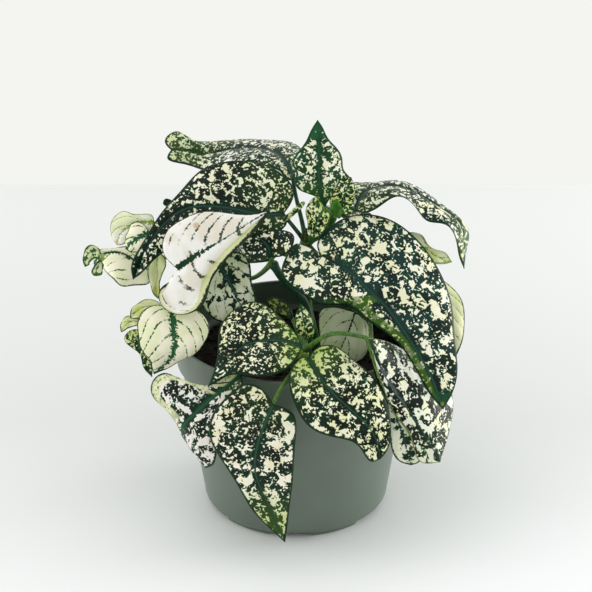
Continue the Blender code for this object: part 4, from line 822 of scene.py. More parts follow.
def leafFinish(name, look):
    finish, tree = newFinish(name)
    shared = leafPattern
    place = addNode(tree, "Attribute", {"attribute_name": "leafPlace"}).outputs["Vector"]
    note = addNode(tree, "Attribute", {"attribute_name": "leafLook"}).outputs["Vector"]
    across, vein, inward = addNode(tree, "SeparateXYZ", None, {0: place}).outputs
    seed, share, toTip = addNode(tree, "SeparateXYZ", None, {0: note}).outputs
    side = addNode(tree, "Math", {"operation": "ABSOLUTE"}, {0: across}).outputs[0]

    # a soft field for shades, a fine field for ragged edges, and one with lobes for the splashes
    body = addNode(tree, "TexCoord").outputs["Object"]
    body = addNode(tree, "VectorMath", scaled, {0: body, "Scale": 1 / mm}).outputs[0]
    fields = []
    for width, detail, roughness, twist in (
        (shared["shadeWidth"], 1.0, 0.5, 0), (shared["raggedWidth"], 2.0, 0.5, 0),
        (look["grain"], 2.6, 0.62, 0.5),
    ):
        way = addNode(tree, "VectorMath", scaled, {0: body, "Scale": 1 / width}).outputs[0]
        fields.append(addNode(tree, "TexNoise", lobed, {
            "Vector": way, "W": seed, "Scale": 1.0, "Detail": detail, "Roughness": roughness,
            "Distortion": twist}).outputs[0])
    shade, rag, splash = fields
    ragged = addNode(tree, "Math", {"operation": "SUBTRACT"}, {0: rag, 1: 0.5}).outputs[0]

    # the level at which the splash field turns cream: the rib, the side veins and a plain tip stay green
    nearRib = addNode(tree, "MapRange", smooth, {
        "Value": side, "From Min": look["ribHalf"] * 2.2, "From Max": look["ribHalf"] * 0.7}).outputs[0]
    splashed = look["cover"] < whiteLook["cover"]
    level = addNode(tree, "Math", timesPlus, {
        0: nearRib, 1: shared["ribPull"] if splashed else 0.0, 2: splash}).outputs[0]
    veinSide = addNode(tree, "Math", {"operation": "PINGPONG"}, {
        0: vein, 1: leafMake["veinGap"] / mm / 2}).outputs[0]
    onVein = addNode(tree, "MapRange", smooth, {
        "Value": veinSide, "From Min": 0.7, "From Max": 0.1}).outputs[0]
    level = addNode(tree, "Math", timesPlus, {
        0: onVein, 1: shared["veinPull"] if splashed else 0.0, 2: level}).outputs[0]
    tipWay = addNode(tree, "Math", timesPlus, {0: splash, 1: -shared["tipRagged"], 2: toTip}).outputs[0]
    tipWay = addNode(tree, "Math", {"operation": "ADD"}, {0: tipWay, 1: shared["tipRagged"] / 2}).outputs[0]
    plain = addNode(tree, "MapRange", smooth, {
        "Value": tipWay, "From Min": look["plainTip"] + 0.01, "From Max": look["plainTip"] * 0.7}).outputs[0]
    level = addNode(tree, "Math", timesPlus, {
        0: plain, 1: shared["tipPull"] if look["plainTip"] else 0.0, 2: level}).outputs[0]
    cut = 0.5 - shared["coverStep"] * look["cover"]
    cream = addNode(tree, "MapRange", smooth, {
        "Value": level, "From Min": cut, "From Max": cut + shared["creamEdge"]}).outputs[0]
    halo = addNode(tree, "MapRange", smooth, {
        "Value": level, "From Min": cut - shared["haloReach"], "From Max": cut}).outputs[0]

    # freckles: the highest bumps of a finer field, each about half a millimetre across
    dotWay = addNode(tree, "VectorMath", scaled, {0: body, "Scale": 1 / shared["freckleWidth"]}).outputs[0]
    if look["freckles"]:
        specks = addNode(tree, "TexNoise", lobed, {
            "Vector": dotWay, "W": seed, "Scale": 1.0, "Detail": 1.0, "Roughness": 0.5}).outputs[0]
        least = 0.72 - 0.25 * look["freckles"]
        dot = addNode(tree, "MapRange", smooth, {
            "Value": specks, "From Min": least, "From Max": least + 0.03}).outputs[0]
    else:
        dot = addNode(tree, "Value").outputs[0]
    bare = addNode(tree, "Math", {"operation": "MAXIMUM"}, {
        0: nearRib, 1: plain if look["plainTip"] else 0.0}).outputs[0]
    farRib = addNode(tree, "Math", {"operation": "SUBTRACT"}, {0: 1.0, 1: bare}).outputs[0]
    dot = addNode(tree, "Math", times, {0: dot, 1: farRib}).outputs[0]
    cream = addNode(tree, "Math", {"operation": "MAXIMUM"}, {0: cream, 1: dot}).outputs[0]

    # greens and creams
    warm = addNode(tree, "MapRange", smooth, {
        "Value": shade, "From Min": shared["warmFrom"], "From Max": shared["warmTo"]}).outputs[0]
    green = addNode(tree, "Mix", blend, {0: warm, 6: look["dark"], 7: look["deep"]}).outputs[2]
    green = addNode(tree, "Mix", blend, {0: halo, 6: green, 7: look["halo"]}).outputs[2]
    if look["plainTip"]:
        green = addNode(tree, "Mix", blend, {0: plain, 6: green, 7: look["plainColour"]}).outputs[2]
    pale = addNode(tree, "Mix", blend, {0: warm, 6: look["splash"], 7: look["warm"]}).outputs[2]
    colour = addNode(tree, "Mix", blend, {0: cream, 6: green, 7: pale}).outputs[2]

    # side veins drawn in green on white leaves: broken, ragged lines
    inkWidth = addNode(tree, "MapRange", None, {
        "Value": rag, "From Min": 0.38, "From Max": 0.62, "To Min": 0.0,
        "To Max": 2.2 * look["inkHalf"]}).outputs[0]
    inked = addNode(tree, "Math", {"operation": "LESS_THAN"}, {0: veinSide, 1: inkWidth}).outputs[0]
    inkHere = addNode(tree, "MapRange", smooth, {
        "Value": shade, "From Min": look["inkFrom"], "From Max": look["inkFrom"] + 0.1,
        "To Max": look["ink"]}).outputs[0]
    inked = addNode(tree, "Math", times, {0: inked, 1: inkHere}).outputs[0]
    colour = addNode(tree, "Mix", blend, {0: inked, 6: colour, 7: look["rib"]}).outputs[2]

    # lime where the leaf is youngest, at its base or its tip
    atBase = addNode(tree, "MapRange", smooth, {
        "Value": share, "From Min": 0.5, "From Max": 0.0, "To Max": look["limeBase"]}).outputs[0]
    atTip = addNode(tree, "MapRange", smooth, {
        "Value": share, "From Min": 0.62, "From Max": 0.9, "To Max": look["limeTip"]}).outputs[0]
    young = addNode(tree, "Math", {"operation": "MAXIMUM"}, {0: atBase, 1: atTip}).outputs[0]
    limed = addNode(tree, "Mix", {**blend, "blend_type": "MULTIPLY"}, {
        0: young, 6: colour, 7: look["lime"]}).outputs[2]
    lifted = addNode(tree, "Math", times, {0: young, 1: shared["youngShare"]}).outputs[0]
    colour = addNode(tree, "Mix", blend, {0: lifted, 6: limed, 7: shared["youngGreen"]}).outputs[2]

    # the rib narrows to the tip, with a ragged edge and a fine light line down its middle
    taper = addNode(tree, "Math", timesPlus, {
        0: share, 1: -look["ribHalf"] * look["ribTaper"], 2: look["ribHalf"]}).outputs[0]
    taper = addNode(tree, "Math", {"operation": "MAXIMUM"}, {0: taper, 1: shared["thinRib"]}).outputs[0]
    jagged = addNode(tree, "Math", timesPlus, {0: ragged, 1: 4.0 * look["ribJag"], 2: side}).outputs[0]
    beyond = addNode(tree, "Math", {"operation": "SUBTRACT"}, {0: jagged, 1: taper}).outputs[0]
    ribHere = addNode(tree, "MapRange", smooth, {
        "Value": beyond, "From Min": shared["thinRib"], "From Max": -shared["thinRib"]}).outputs[0]
    colour = addNode(tree, "Mix", blend, {0: ribHere, 6: colour, 7: look["rib"]}).outputs[2]
    lineHere = addNode(tree, "MapRange", smooth, {
        "Value": side, "From Min": 0.26, "From Max": 0.10, "To Max": 0.7}).outputs[0]
    colour = addNode(tree, "Mix", blend, {0: lineHere, 6: colour, 7: look["ribLine"]}).outputs[2]

    # a stripe along the right edge, where the leaf is folded or rolled under, with the freckles on it
    ruffled = addNode(tree, "Math", timesPlus, {0: ragged, 1: 1.5 * look["marginHalf"], 2: inward}).outputs[0]
    toRight = addNode(tree, "MapRange", smooth, {
        "Value": across, "From Min": 0.0, "From Max": 2.0}).outputs[0]
    banded = addNode(tree, "MapRange", smooth, {
        "Value": ruffled, "From Min": look["band"] + 0.01, "From Max": look["band"] * 0.8,
        "To Max": 0.85 if look["band"] else 0.0}).outputs[0]
    farAlong = addNode(tree, "MapRange", smooth, {
        "Value": share, "From Min": look["bandShare"][0], "From Max": look["bandShare"][1]}).outputs[0]
    banded = addNode(tree, "Math", times, {0: banded, 1: toRight}).outputs[0]
    banded = addNode(tree, "Math", times, {0: banded, 1: farAlong}).outputs[0]
    band = addNode(tree, "Mix", blend, {0: dot, 6: look["bandColour"], 7: look["bandDots"]}).outputs[2]
    colour = addNode(tree, "Mix", blend, {0: banded, 6: colour, 7: band}).outputs[2]

    # a thin margin all round, and a spot where the leaf has dried
    edgeHere = addNode(tree, "MapRange", smooth, {
        "Value": ruffled, "From Min": look["marginHalf"] * 1.3,
        "From Max": look["marginHalf"] * 0.8}).outputs[0]
    colour = addNode(tree, "Mix", blend, {0: edgeHere, 6: colour, 7: look["margin"]}).outputs[2]
    if look["spotOn"]:
        leaf = leaves[look["spotOn"]]
        centre = seenOnPlane(look["spotAt"], seen(leaf["at"]), unit(np.array(leaf["faces"], float))) / mm
        fromSpot = addNode(tree, "VectorMath", {"operation": "DISTANCE"}, {
            0: body, 1: tuple(centre)}).outputs["Value"]
        spotted = addNode(tree, "MapRange", smooth, {
            "Value": fromSpot, "From Min": look["spotHalf"], "From Max": look["spotHalf"] * 0.6,
            "To Max": 0.85}).outputs[0]
        colour = addNode(tree, "Mix", blend, {0: spotted, 6: colour, 7: look["spotColour"]}).outputs[2]

    # a fine net of cells that stands up a little between the smallest veins
    cells = addNode(tree, "TexVoronoi", {"feature": "DISTANCE_TO_EDGE"}, {
        "Vector": dotWay, "Scale": shared["cells"]}).outputs["Distance"]
    relief = addNode(tree, "Math", timesPlus, {0: rag, 1: 0.6, 2: cells}).outputs[0]
    bump = addNode(tree, "Bump", None, {
        "Strength": 0.35, "Distance": shared["relief"], "Height": relief}).outputs[0]
    shader = addNode(tree, "BsdfPrincipled", None, {
        "Base Color": colour, "Roughness": look["roughness"], "IOR": 1.42, "Normal": bump,
        "Specular IOR Level": 0.22, "Subsurface Weight": 0.08, "Subsurface Radius": (0.5, 1.0, 0.25),
        "Subsurface Scale": 0.8 * mm})
    addNode(tree, "OutputMaterial", None, {0: shader.outputs[0]})
    return finish


def stalkFinish(name, look):
    # a soft green stalk: round, faintly streaked along its length, with a satin skin
    finish, tree = newFinish(name)
    place = addNode(tree, "TexCoord").outputs["Object"]
    streakWay = addNode(tree, "VectorMath", times, {
        0: place, 1: (1 / mm, 1 / mm, 0.2 / mm)}).outputs[0]
    streak = addNode(tree, "TexNoise", None, {"Vector": streakWay, "Scale": 1.2, "Detail": 3.0}).outputs[0]
    mixed = addNode(tree, "MapRange", None, {"Value": streak, "From Min": 0.38, "From Max": 0.62}).outputs[0]
    colour = addNode(tree, "Mix", blend, {0: mixed, 6: look["dark"], 7: look["light"]}).outputs[2]
    bump = addNode(tree, "Bump", None, {"Strength": 0.3, "Distance": 0.1 * mm, "Height": streak}).outputs[0]
    shader = addNode(tree, "BsdfPrincipled", None, {
        "Base Color": colour, "Roughness": 0.55, "IOR": 1.42, "Normal": bump,
        "Subsurface Weight": 0.15, "Subsurface Radius": (0.4, 1.0, 0.2), "Subsurface Scale": 1 * mm})
    addNode(tree, "OutputMaterial", None, {0: shader.outputs[0]})
    return finish


stalkLooks = {
    "dark": {"dark": "#123622", "light": "#1f5030"},
    "fresh": {"dark": "#245a1a", "light": "#3b7a24"},
    "green": {"dark": "#33591f", "light": "#567c2c"},
    "young": {"dark": "#7a9d2e", "light": "#b2c956"},
    "pale": {"dark": "#7f9a4a", "light": "#a3b86a"},
}

# Injection-moulded polypropylene: satin, faintly mottled by the flow, with a fine orange peel
potLook = {"colour": "#606c61", "cooler": "#667366", "roughness": 0.38, "peel": 0.9, "mottle": 22.0}


def potFinish():
    finish, tree = newFinish("moulded polypropylene")
    place = addNode(tree, "TexCoord").outputs["Object"]
    mottleWay = addNode(tree, "VectorMath", scaled, {
        0: place, "Scale": 1 / (potLook["mottle"] * mm)}).outputs[0]
    mottle = addNode(tree, "TexNoise", None, {"Vector": mottleWay, "Scale": 1.0, "Detail": 2.0}).outputs[0]
    mixed = addNode(tree, "MapRange", None, {"Value": mottle, "From Min": 0.35, "From Max": 0.65}).outputs[0]
    colour = addNode(tree, "Mix", blend, {0: mixed, 6: potLook["colour"], 7: potLook["cooler"]}).outputs[2]
    peelWay = addNode(tree, "VectorMath", scaled, {0: place, "Scale": 1 / (potLook["peel"] * mm)}).outputs[0]
    peel = addNode(tree, "TexNoise", None, {"Vector": peelWay, "Scale": 1.0, "Detail": 1.0}).outputs[0]
    bump = addNode(tree, "Bump", None, {"Strength": 0.25, "Distance": 0.05 * mm, "Height": peel}).outputs[0]
    gloss = addNode(tree, "MapRange", None, {
        "Value": mottle, "From Min": 0.3, "From Max": 0.7, "To Min": potLook["roughness"] - 0.05,
        "To Max": potLook["roughness"] + 0.06}).outputs[0]
    shader = addNode(tree, "BsdfPrincipled", None, {
        "Base Color": colour, "Roughness": gloss, "IOR": 1.49, "Normal": bump})
    addNode(tree, "OutputMaterial", None, {0: shader.outputs[0]})
    return finish


def soilFinish(name, dark, light):
    # damp peat: near black and matt, with browner fibres a millimetre or two long
    finish, tree = newFinish(name)
    place = addNode(tree, "TexCoord").outputs["Object"]
    fibreWay = addNode(tree, "VectorMath", scaled, {0: place, "Scale": 1 / (1.6 * mm)}).outputs[0]
    fibre = addNode(tree, "TexNoise", None, {
        "Vector": fibreWay, "Scale": 1.0, "Detail": 5.0, "Roughness": 0.7}).outputs[0]
    mixed = addNode(tree, "MapRange", None, {"Value": fibre, "From Min": 0.42, "From Max": 0.68}).outputs[0]
    colour = addNode(tree, "Mix", blend, {0: mixed, 6: dark, 7: light}).outputs[2]
    bump = addNode(tree, "Bump", None, {"Strength": 0.9, "Distance": 0.6 * mm, "Height": fibre}).outputs[0]
    shader = addNode(tree, "BsdfPrincipled", None, {
        "Base Color": colour, "Roughness": 0.92, "IOR": 1.4, "Normal": bump})
    addNode(tree, "OutputMaterial", None, {0: shader.outputs[0]})
    return finish


def boardFinish():
    # a white laminate table top, painted darker in a band across the middle and lighter towards the back and
    # the front: painted shade and light
    finish, tree = newFinish("white laminate")
    place = addNode(tree, "TexCoord").outputs["Object"]
    depth = addNode(tree, "SeparateXYZ", None, {0: place}).outputs[1]
    colour = studio["floor"]["middle"]
    for name in ("far", "near"):
        start, end = studio["floor"][name + "Reach"]
        reached = addNode(tree, "MapRange", smooth, {
            "Value": depth, "From Min": start, "From Max": end}).outputs[0]
        colour = addNode(tree, "Mix", blend, {0: reached, 6: colour, 7: studio["floor"][name]}).outputs[2]
    shader = addNode(tree, "BsdfPrincipled", None, {"Base Color": colour, "Roughness": 0.6})
    addNode(tree, "OutputMaterial", None, {0: shader.outputs[0]})
    return finish


# The pot: a profile turned round its axis, with soft corners. Its foot ring is cut away at even notches
potMake = {"rim": 53 * mm, "height": 83 * mm, "collar": 14 * mm, "step": 2 * mm, "base": 41 * mm,
           "wall": 1.4 * mm, "foot": 2 * mm, "footRadius": 39 * mm, "footWidth": 3 * mm, "notches": 6,
           "notchDegrees": 25, "firstNotch": -94, "drains": 6, "drainRadius": 3.5 * mm,
           "drainCircle": 26 * mm, "sides": 240, "soft": 0.45 * mm}


def bodyRadius(height):
    # the outer radius of the tapered body under the collar
    top = potMake["height"] - potMake["collar"]
    share = (height - potMake["foot"]) / (top - potMake["foot"])
    return potMake["base"] + (potMake["rim"] - potMake["step"] - potMake["base"]) * share


def softened(profile, radius, steps=4):
    # each inner corner of the line becomes a short curve that starts and ends a radius away from it
    profile = np.array(profile)
    line = [profile[:1]]
    t = np.linspace(0, 1, steps + 1)[:, None]
    for before, corner, after in zip(profile[:-2], profile[1:-1], profile[2:]):
        back, on = before - corner, after - corner
        a = corner + back * min(0.45, radius / np.linalg.norm(back))
        b = corner + on * min(0.45, radius / np.linalg.norm(on))
        line.append((1 - t) ** 2 * a + 2 * t * (1 - t) * corner + t**2 * b)
    return np.concatenate([*line, profile[-1:]])


def sealed(piece, merged=True):
    # the piece's points merged where they meet, and its faces turned outwards
    shell = bmesh.new()
    shell.from_mesh(piece.data)
    if merged:
        bmesh.ops.remove_doubles(shell, verts=shell.verts, dist=0.002 * mm)
    bmesh.ops.recalc_face_normals(shell, faces=shell.faces)
    shell.to_mesh(piece.data)
    shell.free()


def makePot():
    p = potMake
    low, floor, inner = p["height"] - p["collar"], p["foot"] + p["wall"], p["rim"] - p["wall"]
    profile = softened([
        (0.0, floor), (p["base"] - p["wall"] - 1 * mm, floor),
        (bodyRadius(floor + 1 * mm) - p["wall"], floor + 1 * mm), (bodyRadius(low) - p["wall"], low),
        (inner, low + p["step"]), (inner, p["height"]), (p["rim"], p["height"]),
        (p["rim"] - 0.2 * mm, low), (bodyRadius(low), low),
        (bodyRadius(p["foot"] + 2 * mm), p["foot"] + 2 * mm), (p["base"] - 0.6 * mm, p["foot"] + 0.4 * mm),
        (p["base"] - 1.4 * mm, p["foot"]), (p["footRadius"], p["foot"]), (p["footRadius"], 0.0),
        (p["footRadius"] - p["footWidth"], 0.0),
        (p["footRadius"] - p["footWidth"], p["foot"]), (0.0, p["foot"]),
    ], p["soft"])
    turn = math.tau * np.arange(p["sides"]) / p["sides"]
    radius, height = profile[:, 0][:, None], profile[:, 1][:, None]
    points = np.stack([radius * np.cos(turn), radius * np.sin(turn), height + 0 * turn], -1)
    angle = (np.degrees(turn) - p["firstNotch"]) % (360 / p["notches"])
    fromMiddle = np.minimum(angle, 360 / p["notches"] - angle)
    notch = np.clip((p["notchDegrees"] / 2 + 0.8 - fromMiddle) / 1.6, 0, 1)
    ring = (points[..., 2] < p["foot"]) & (radius < p["footRadius"] + 0.1 * mm)
    points[..., 2] = np.where(ring, points[..., 2] + (p["foot"] - points[..., 2]) * notch, points[..., 2])
    points = points.reshape(-1, 3) + potAxis
    # the two ends of the profile are on the axis, so their rings close in one point each
    faces = ringFaces(len(profile), p["sides"])
    pot = newPiece("pot_shell", points, faces, [potFinish()], "pot_plastic", ["pot"])
    drill = bmesh.new()
    for k in range(p["drains"]):
        around = math.tau * (k + 0.5) / p["drains"]
        place = potAxis + p["drainCircle"] * np.array([math.cos(around), math.sin(around), 0])
        made = bmesh.ops.create_cone(drill, cap_ends=True, segments=32, radius1=p["drainRadius"],
                                     radius2=p["drainRadius"], depth=6 * mm)
        bmesh.ops.translate(drill, verts=made["verts"], vec=(*place[:2], floor - 1 * mm))
    bits = bpy.data.meshes.new("drill")
    drill.to_mesh(bits)
    drill.free()
    holder = bpy.data.objects.new("drill", bits)
    bpy.context.scene.collection.objects.link(holder)
    sealed(pot)
    cut = pot.modifiers.new("drains", "BOOLEAN")
    cut.object = holder
    cut.operation = "DIFFERENCE"
    cut.solver = "EXACT"
    bpy.context.view_layer.update()
    whole = bpy.data.meshes.new_from_object(pot.evaluated_get(bpy.context.evaluated_depsgraph_get()))
    pot.modifiers.clear()
    pot.data = whole
    bpy.data.objects.remove(holder)
    whole.polygons.foreach_set("use_smooth", np.ones(len(whole.polygons), bool))
    whole.set_sharp_from_angle(angle=math.radians(50))
    print("stage: pot turned")


# The potting mix: a rough top with loose crumbs of bark, and a plain plug below
soilMake = {"top": 70 * mm, "rough": 1.6 * mm, "fine": 0.9 * mm, "sides": 200, "rings": 90, "gap": 0.3 * mm,
            "fade": 4 * mm, "crumbs": 520, "crumb": (0.7 * mm, 2.4 * mm), "crumbClear": 2.5 * mm}


def soilHeight(x, y):
    # the top of the mix at a place measured from the pot's axis: the CAD's broad swells, and small clods
    u, v = x / mm, y / mm
    swell = np.sin(0.31 * u + 0.7) * np.cos(0.27 * v) + 0.6 * np.sin(0.63 * u - 0.41 * v + 1.9)
    clods = rolling(u / 5, v / 5, 0 * u, 5) + 0.6 * rolling(u / 2.2, v / 2.2, 0 * u, 6)
    return soilMake["top"] + soilMake["rough"] * 0.5 * swell + soilMake["fine"] * 0.5 * clods


def makeSoil():
    gap = potMake["wall"] + soilMake["gap"]
    bottom = potMake["foot"] + gap
    edgeHeight = potMake["height"] - potMake["collar"] - 1 * mm
    edge = bodyRadius(edgeHeight) - gap
    turn = math.tau * np.arange(soilMake["sides"]) / soilMake["sides"]
    radius = edge * np.linspace(0, 1, soilMake["rings"])[:, None]
    x, y = radius * np.cos(turn), radius * np.sin(turn)
    fade = np.clip((edge - radius) / soilMake["fade"], 0, 1)
    z = edgeHeight + (soilHeight(x, y) - edgeHeight) * fade**0.5
    top = np.stack([x, y, z], -1)
    below = []
    lower = [(bodyRadius(bottom + 1 * mm) - gap, bottom + 1 * mm), (potMake["base"] - gap - 1 * mm, bottom),
             (0.0, bottom)]
    for r, h in lower:
        below.append(np.stack([r * np.cos(turn), r * np.sin(turn), np.full_like(turn, h)], -1)[None])
    points = np.concatenate([top, *below]).reshape(-1, 3) + potAxis
    faces = ringFaces(len(top) + 3, soilMake["sides"])[:, ::-1]
    peat = soilFinish("damp peat", "#0d0a08", "#30241a")
    plug = newPiece("soil_plug", points, faces, [peat], "potting_mix", ["soil"])
    sealed(plug)
    # crumbs: one small uneven lump, turned and sized at random, lying half sunk in the top
    random = np.random.default_rng(11)
    seedBall = bmesh.new()
    bmesh.ops.create_icosphere(seedBall, subdivisions=1, radius=1)
    ball = np.array([v.co[:] for v in seedBall.verts])
    ballFaces = np.array([[v.index for v in f.verts] for f in seedBall.faces])
    seedBall.free()
    count = soilMake["crumbs"]
    far = (edge - soilMake["crumbClear"]) * np.sqrt(random.uniform(0, 1, count))
    around = random.uniform(0, math.tau, count)
    cx, cy = far * np.cos(around), far * np.sin(around)
    least, most = soilMake["crumb"]
    size = least + (most - least) * random.uniform(0, 1, count) ** 3
    frames = np.linalg.qr(random.normal(size=(count, 3, 3)))[0]
    frames = frames * size[:, None, None] * random.uniform(0.45, 1.0, (count, 3))[:, :, None]
    lumps = ball[None] * random.uniform(0.8, 1.2, (count, len(ball), 1))
    lumps = np.einsum("cvi,cij->cvj", lumps, frames)
    centres = np.stack([cx, cy, soilHeight(cx, cy) + 0.15 * size], -1) + potAxis
    points = (lumps + centres[:, None]).reshape(-1, 3)
    faces = (ballFaces[None] + (np.arange(count) * len(ball))[:, None, None]).reshape(-1, 3)
    bark = soilFinish("composted bark", "#15100c", "#4a3626")
    crumbs = newPiece("soil_crumbs", points, faces, [bark], "potting_mix")
    sealed(crumbs, merged=False)
    print("stage: potting mix filled in")


def nodePlace(name):
    return seen(stemNodes[name])


def alongPath(points):
    # the places of a path whose points are node names or across, down and depth
    return [nodePlace(point) if isinstance(point, str) else seen(point) for point in points]


# The looks of each leaf and of its stalk. The others are "splashed" on a green stalk
leafDress = {
    "leaf_top_upright": ("upright", "dark"),
    "leaf_top_left": ("limeTip", "dark"),
    "leaf_left_large": ("splashed", "dark"),
    "leaf_top_right": ("limeTip", "dark"),
    "leaf_right_large": ("teal", "dark"),
    "leaf_white_large": ("white", "pale"),
    "leaf_white_end": ("cream", "pale"),
    "leaf_white_upper": ("browned", "pale"),
    "leaf_lime_narrow": ("lime", "pale"),
    "leaf_white_low": ("cream", "green"),
    "leaf_pale_middle": ("pale", "green"),
    "leaf_front_left": ("lap", "green"),
    "leaf_rim_left": ("curled", "green"),
    "leaf_rim_hanging": ("hanging", "green"),
    "leaf_rim_right": ("front", "green"),
    "leaf_right_folded": ("folded", "green"),
    "leaf_right_under": ("pale", "green"),
    "leaf_right_edge": ("limeEdge", "green"),
    "leaf_shade": ("shade", "green"),
    "leaf_right_curly": ("limeVeined", "green"),
}
stemDress = {"stem_main": "fresh", "stem_middle": "dark", "stem_front": "young"}
youngDress = {
    "stem_main": ["bud", "shoot", "shoot", "shoot", "brownBud"],
    "stem_left": ["lime", "lime", "shoot", "cream"],
    # the front stem's second shoot takes the shoot look darkened all over as painted shade
    "stem_front": ["shoot", "shootInShade"],
}
# Small parts that the CAD's leaves leave out: curls at the ends or edges of three leaves, the rolled base
# lobe of the large left leaf, and a bud in the axil above the main node
curls = {
    "leaf_white_end": [
        {"at": (99, 256, -2), "faces": (0.2, -0.9, 0.3), "look": ("curlEnd", "pale"),
         "rib": [(101, 256, 1), (96, 250, 2), (90, 252, 2), (86, 259, 1), (85, 267)],
         "left": [(99, 249, 1), (95, 245, 1), (88, 246, 1), (83.5, 253), (83, 262)],
         "right": [(100, 260, 2), (95, 259, 3), (91, 261, 2), (89, 265)]},
        {"at": (99, 265, -2), "faces": (0.2, -0.8, 0.4), "look": ("curlEnd", "pale"),
         "rib": [(101, 259), (99, 264, 1), (96, 271, 1), (97, 276)],
         "left": [(97, 262, 1), (92, 269, 1), (93, 275)],
         "right": [(103, 264), (103, 270), (101, 275)]},
    ],
    "leaf_left_large": [
        {"at": (172, 206, 8), "faces": (0, -0.9, 0.4), "look": ("splashed", "dark"),
         "rib": [(174, 206), (169, 203), (163.5, 201)],
         "left": [(170, 208), (166, 206.5), (163, 203.5)],
         "right": [(173, 202), (169, 199), (165, 199)]},
    ],
    "leaf_rim_right": [
        {"at": (380, 459, -5), "faces": (-0.3, -0.9, 0.2), "look": ("shoot", "green"),
         "rib": [(380, 457), (377, 461), (371, 463.5)],
         "left": [(378, 456), (374, 457), (371, 461)],
         "right": [(380, 461), (377, 465), (372, 465.5)]},
    ],
}
curlStub = 0.4 * mm  # how far behind a curl its stalk starts
rolledLobe = {"path": [(283, 222, 1), (289, 216, 0), (297, 209, -1), (304.5, 202, -1)],
              "radius": 1.2 * mm, "rings": 40, "sides": 16}
axilBud = {
    "at": (305, 236, 0), "faces": (-0.2, -0.9, 0.2), "thick": 1.3,
    "rib": [(306, 243), (304.5, 237), (307, 228)],
    "left": [(302, 240), (302.5, 233)],
    "right": [(308, 240), (308, 234)],
    "stalk": ["main"],
}
made = {}


def dressed(look, stalk):
    # the finishes of a leaf: upper side, lower side and stalk, each made once
    if look not in made:
        made[look] = leafFinish(f"{look} leaf, upper side", leafLooks[look])
        faint = {**leafLooks[look], **underLook}
        made[look + " below"] = leafFinish(f"{look} leaf, lower side", faint)
    if stalk + " stalk" not in made:
        made[stalk + " stalk"] = stalkFinish(f"{stalk} stalk", stalkLooks[stalk])
    return [made[look], made[look + " below"], made[stalk + " stalk"]]


def makeLeaves():
    for seed, (name, leaf) in enumerate(leaves.items()):
        curves, upper = leafCurves(leaf)
        stalk = alongPath(leaf["stalk"])
        points, faces, slots, notes = leafBody(curves, upper, stalk, leafMake["blade"], seed * 3.7)
        finishes = dressed(*leafDress.get(name, ("splashed", "green")))
        slotName = "white_leaf" if "white" in name else "splashed_leaf"
        for k, curl in enumerate(curls.get(name, [])):
            shape, facing = leafCurves(curl)
            stub = [shape["rib"][0] + (0, curlStub, 0)]
            parts = leafBody(shape, facing, stub, leafMake["blade"], 90 + k)
            newPiece(f"{name[5:]}_curl_{k}", parts[0], parts[1], dressed(*curl["look"]), "white_leaf", (),
                     *parts[2:])
        newPiece(name[5:] + "_blade", points, faces, finishes, slotName, [name], slots, notes)
    for seed, (name, leaf) in enumerate(hiddenLeaves.items()):
        node = nodePlace(leaf["node"])
        curves, upper = hiddenLeafCurves(leaf, node)
        points, faces, slots, notes = leafBody(curves, upper, [node], leafMake["blade"], 40 + seed * 3.7)
        newPiece(name[5:] + "_blade", points, faces, dressed("splashed", "green"), "splashed_leaf", [name],
                 slots, notes)
    # the rolled lobe is a tube with the leaf's own pattern wrapped round it
    rings, sides, radius = rolledLobe["rings"], rolledLobe["sides"], rolledLobe["radius"]
    path = smoothCurve(alongPath(rolledLobe["path"]), np.linspace(0, 1, rings))
    radii = radius * np.sqrt(np.clip(1 - np.linspace(0, 1, rings) ** 12, 0.05, 1))
    tube = sweptTube(path, radii, sides, np.array([0.0, 0.0, 1.0]))
    around = np.tile(np.arange(sides) / sides * math.tau * radius / mm, rings)
    along = np.repeat(np.linspace(0, 12, rings), sides)
    notes = {
        "leafPlace": np.column_stack([around + 3, along, np.full(len(tube), 9.0)]),
        "leafLook": np.tile([5.0, 0.4, 30.0], (len(tube), 1)),
    }
    newPiece("left_large_lobe", tube, tubeFaces(rings, sides), dressed("shoot", "dark"), "splashed_leaf",
             (), None, notes)
    print("stage: leaves grown")


# The stems: round, a little ribbed, swollen where the stalks leave

stemMake = {"radius": 1.8 * mm, "node": 2.7 * mm, "nodeHalf": 2.4 * mm, "shoot": 1.1 * mm, "sides": 20,
            "step": 0.8 * mm, "shootRings": 60, "roundRings": 3, "footRise": (-6 * mm, -3 * mm, 2 * mm)}


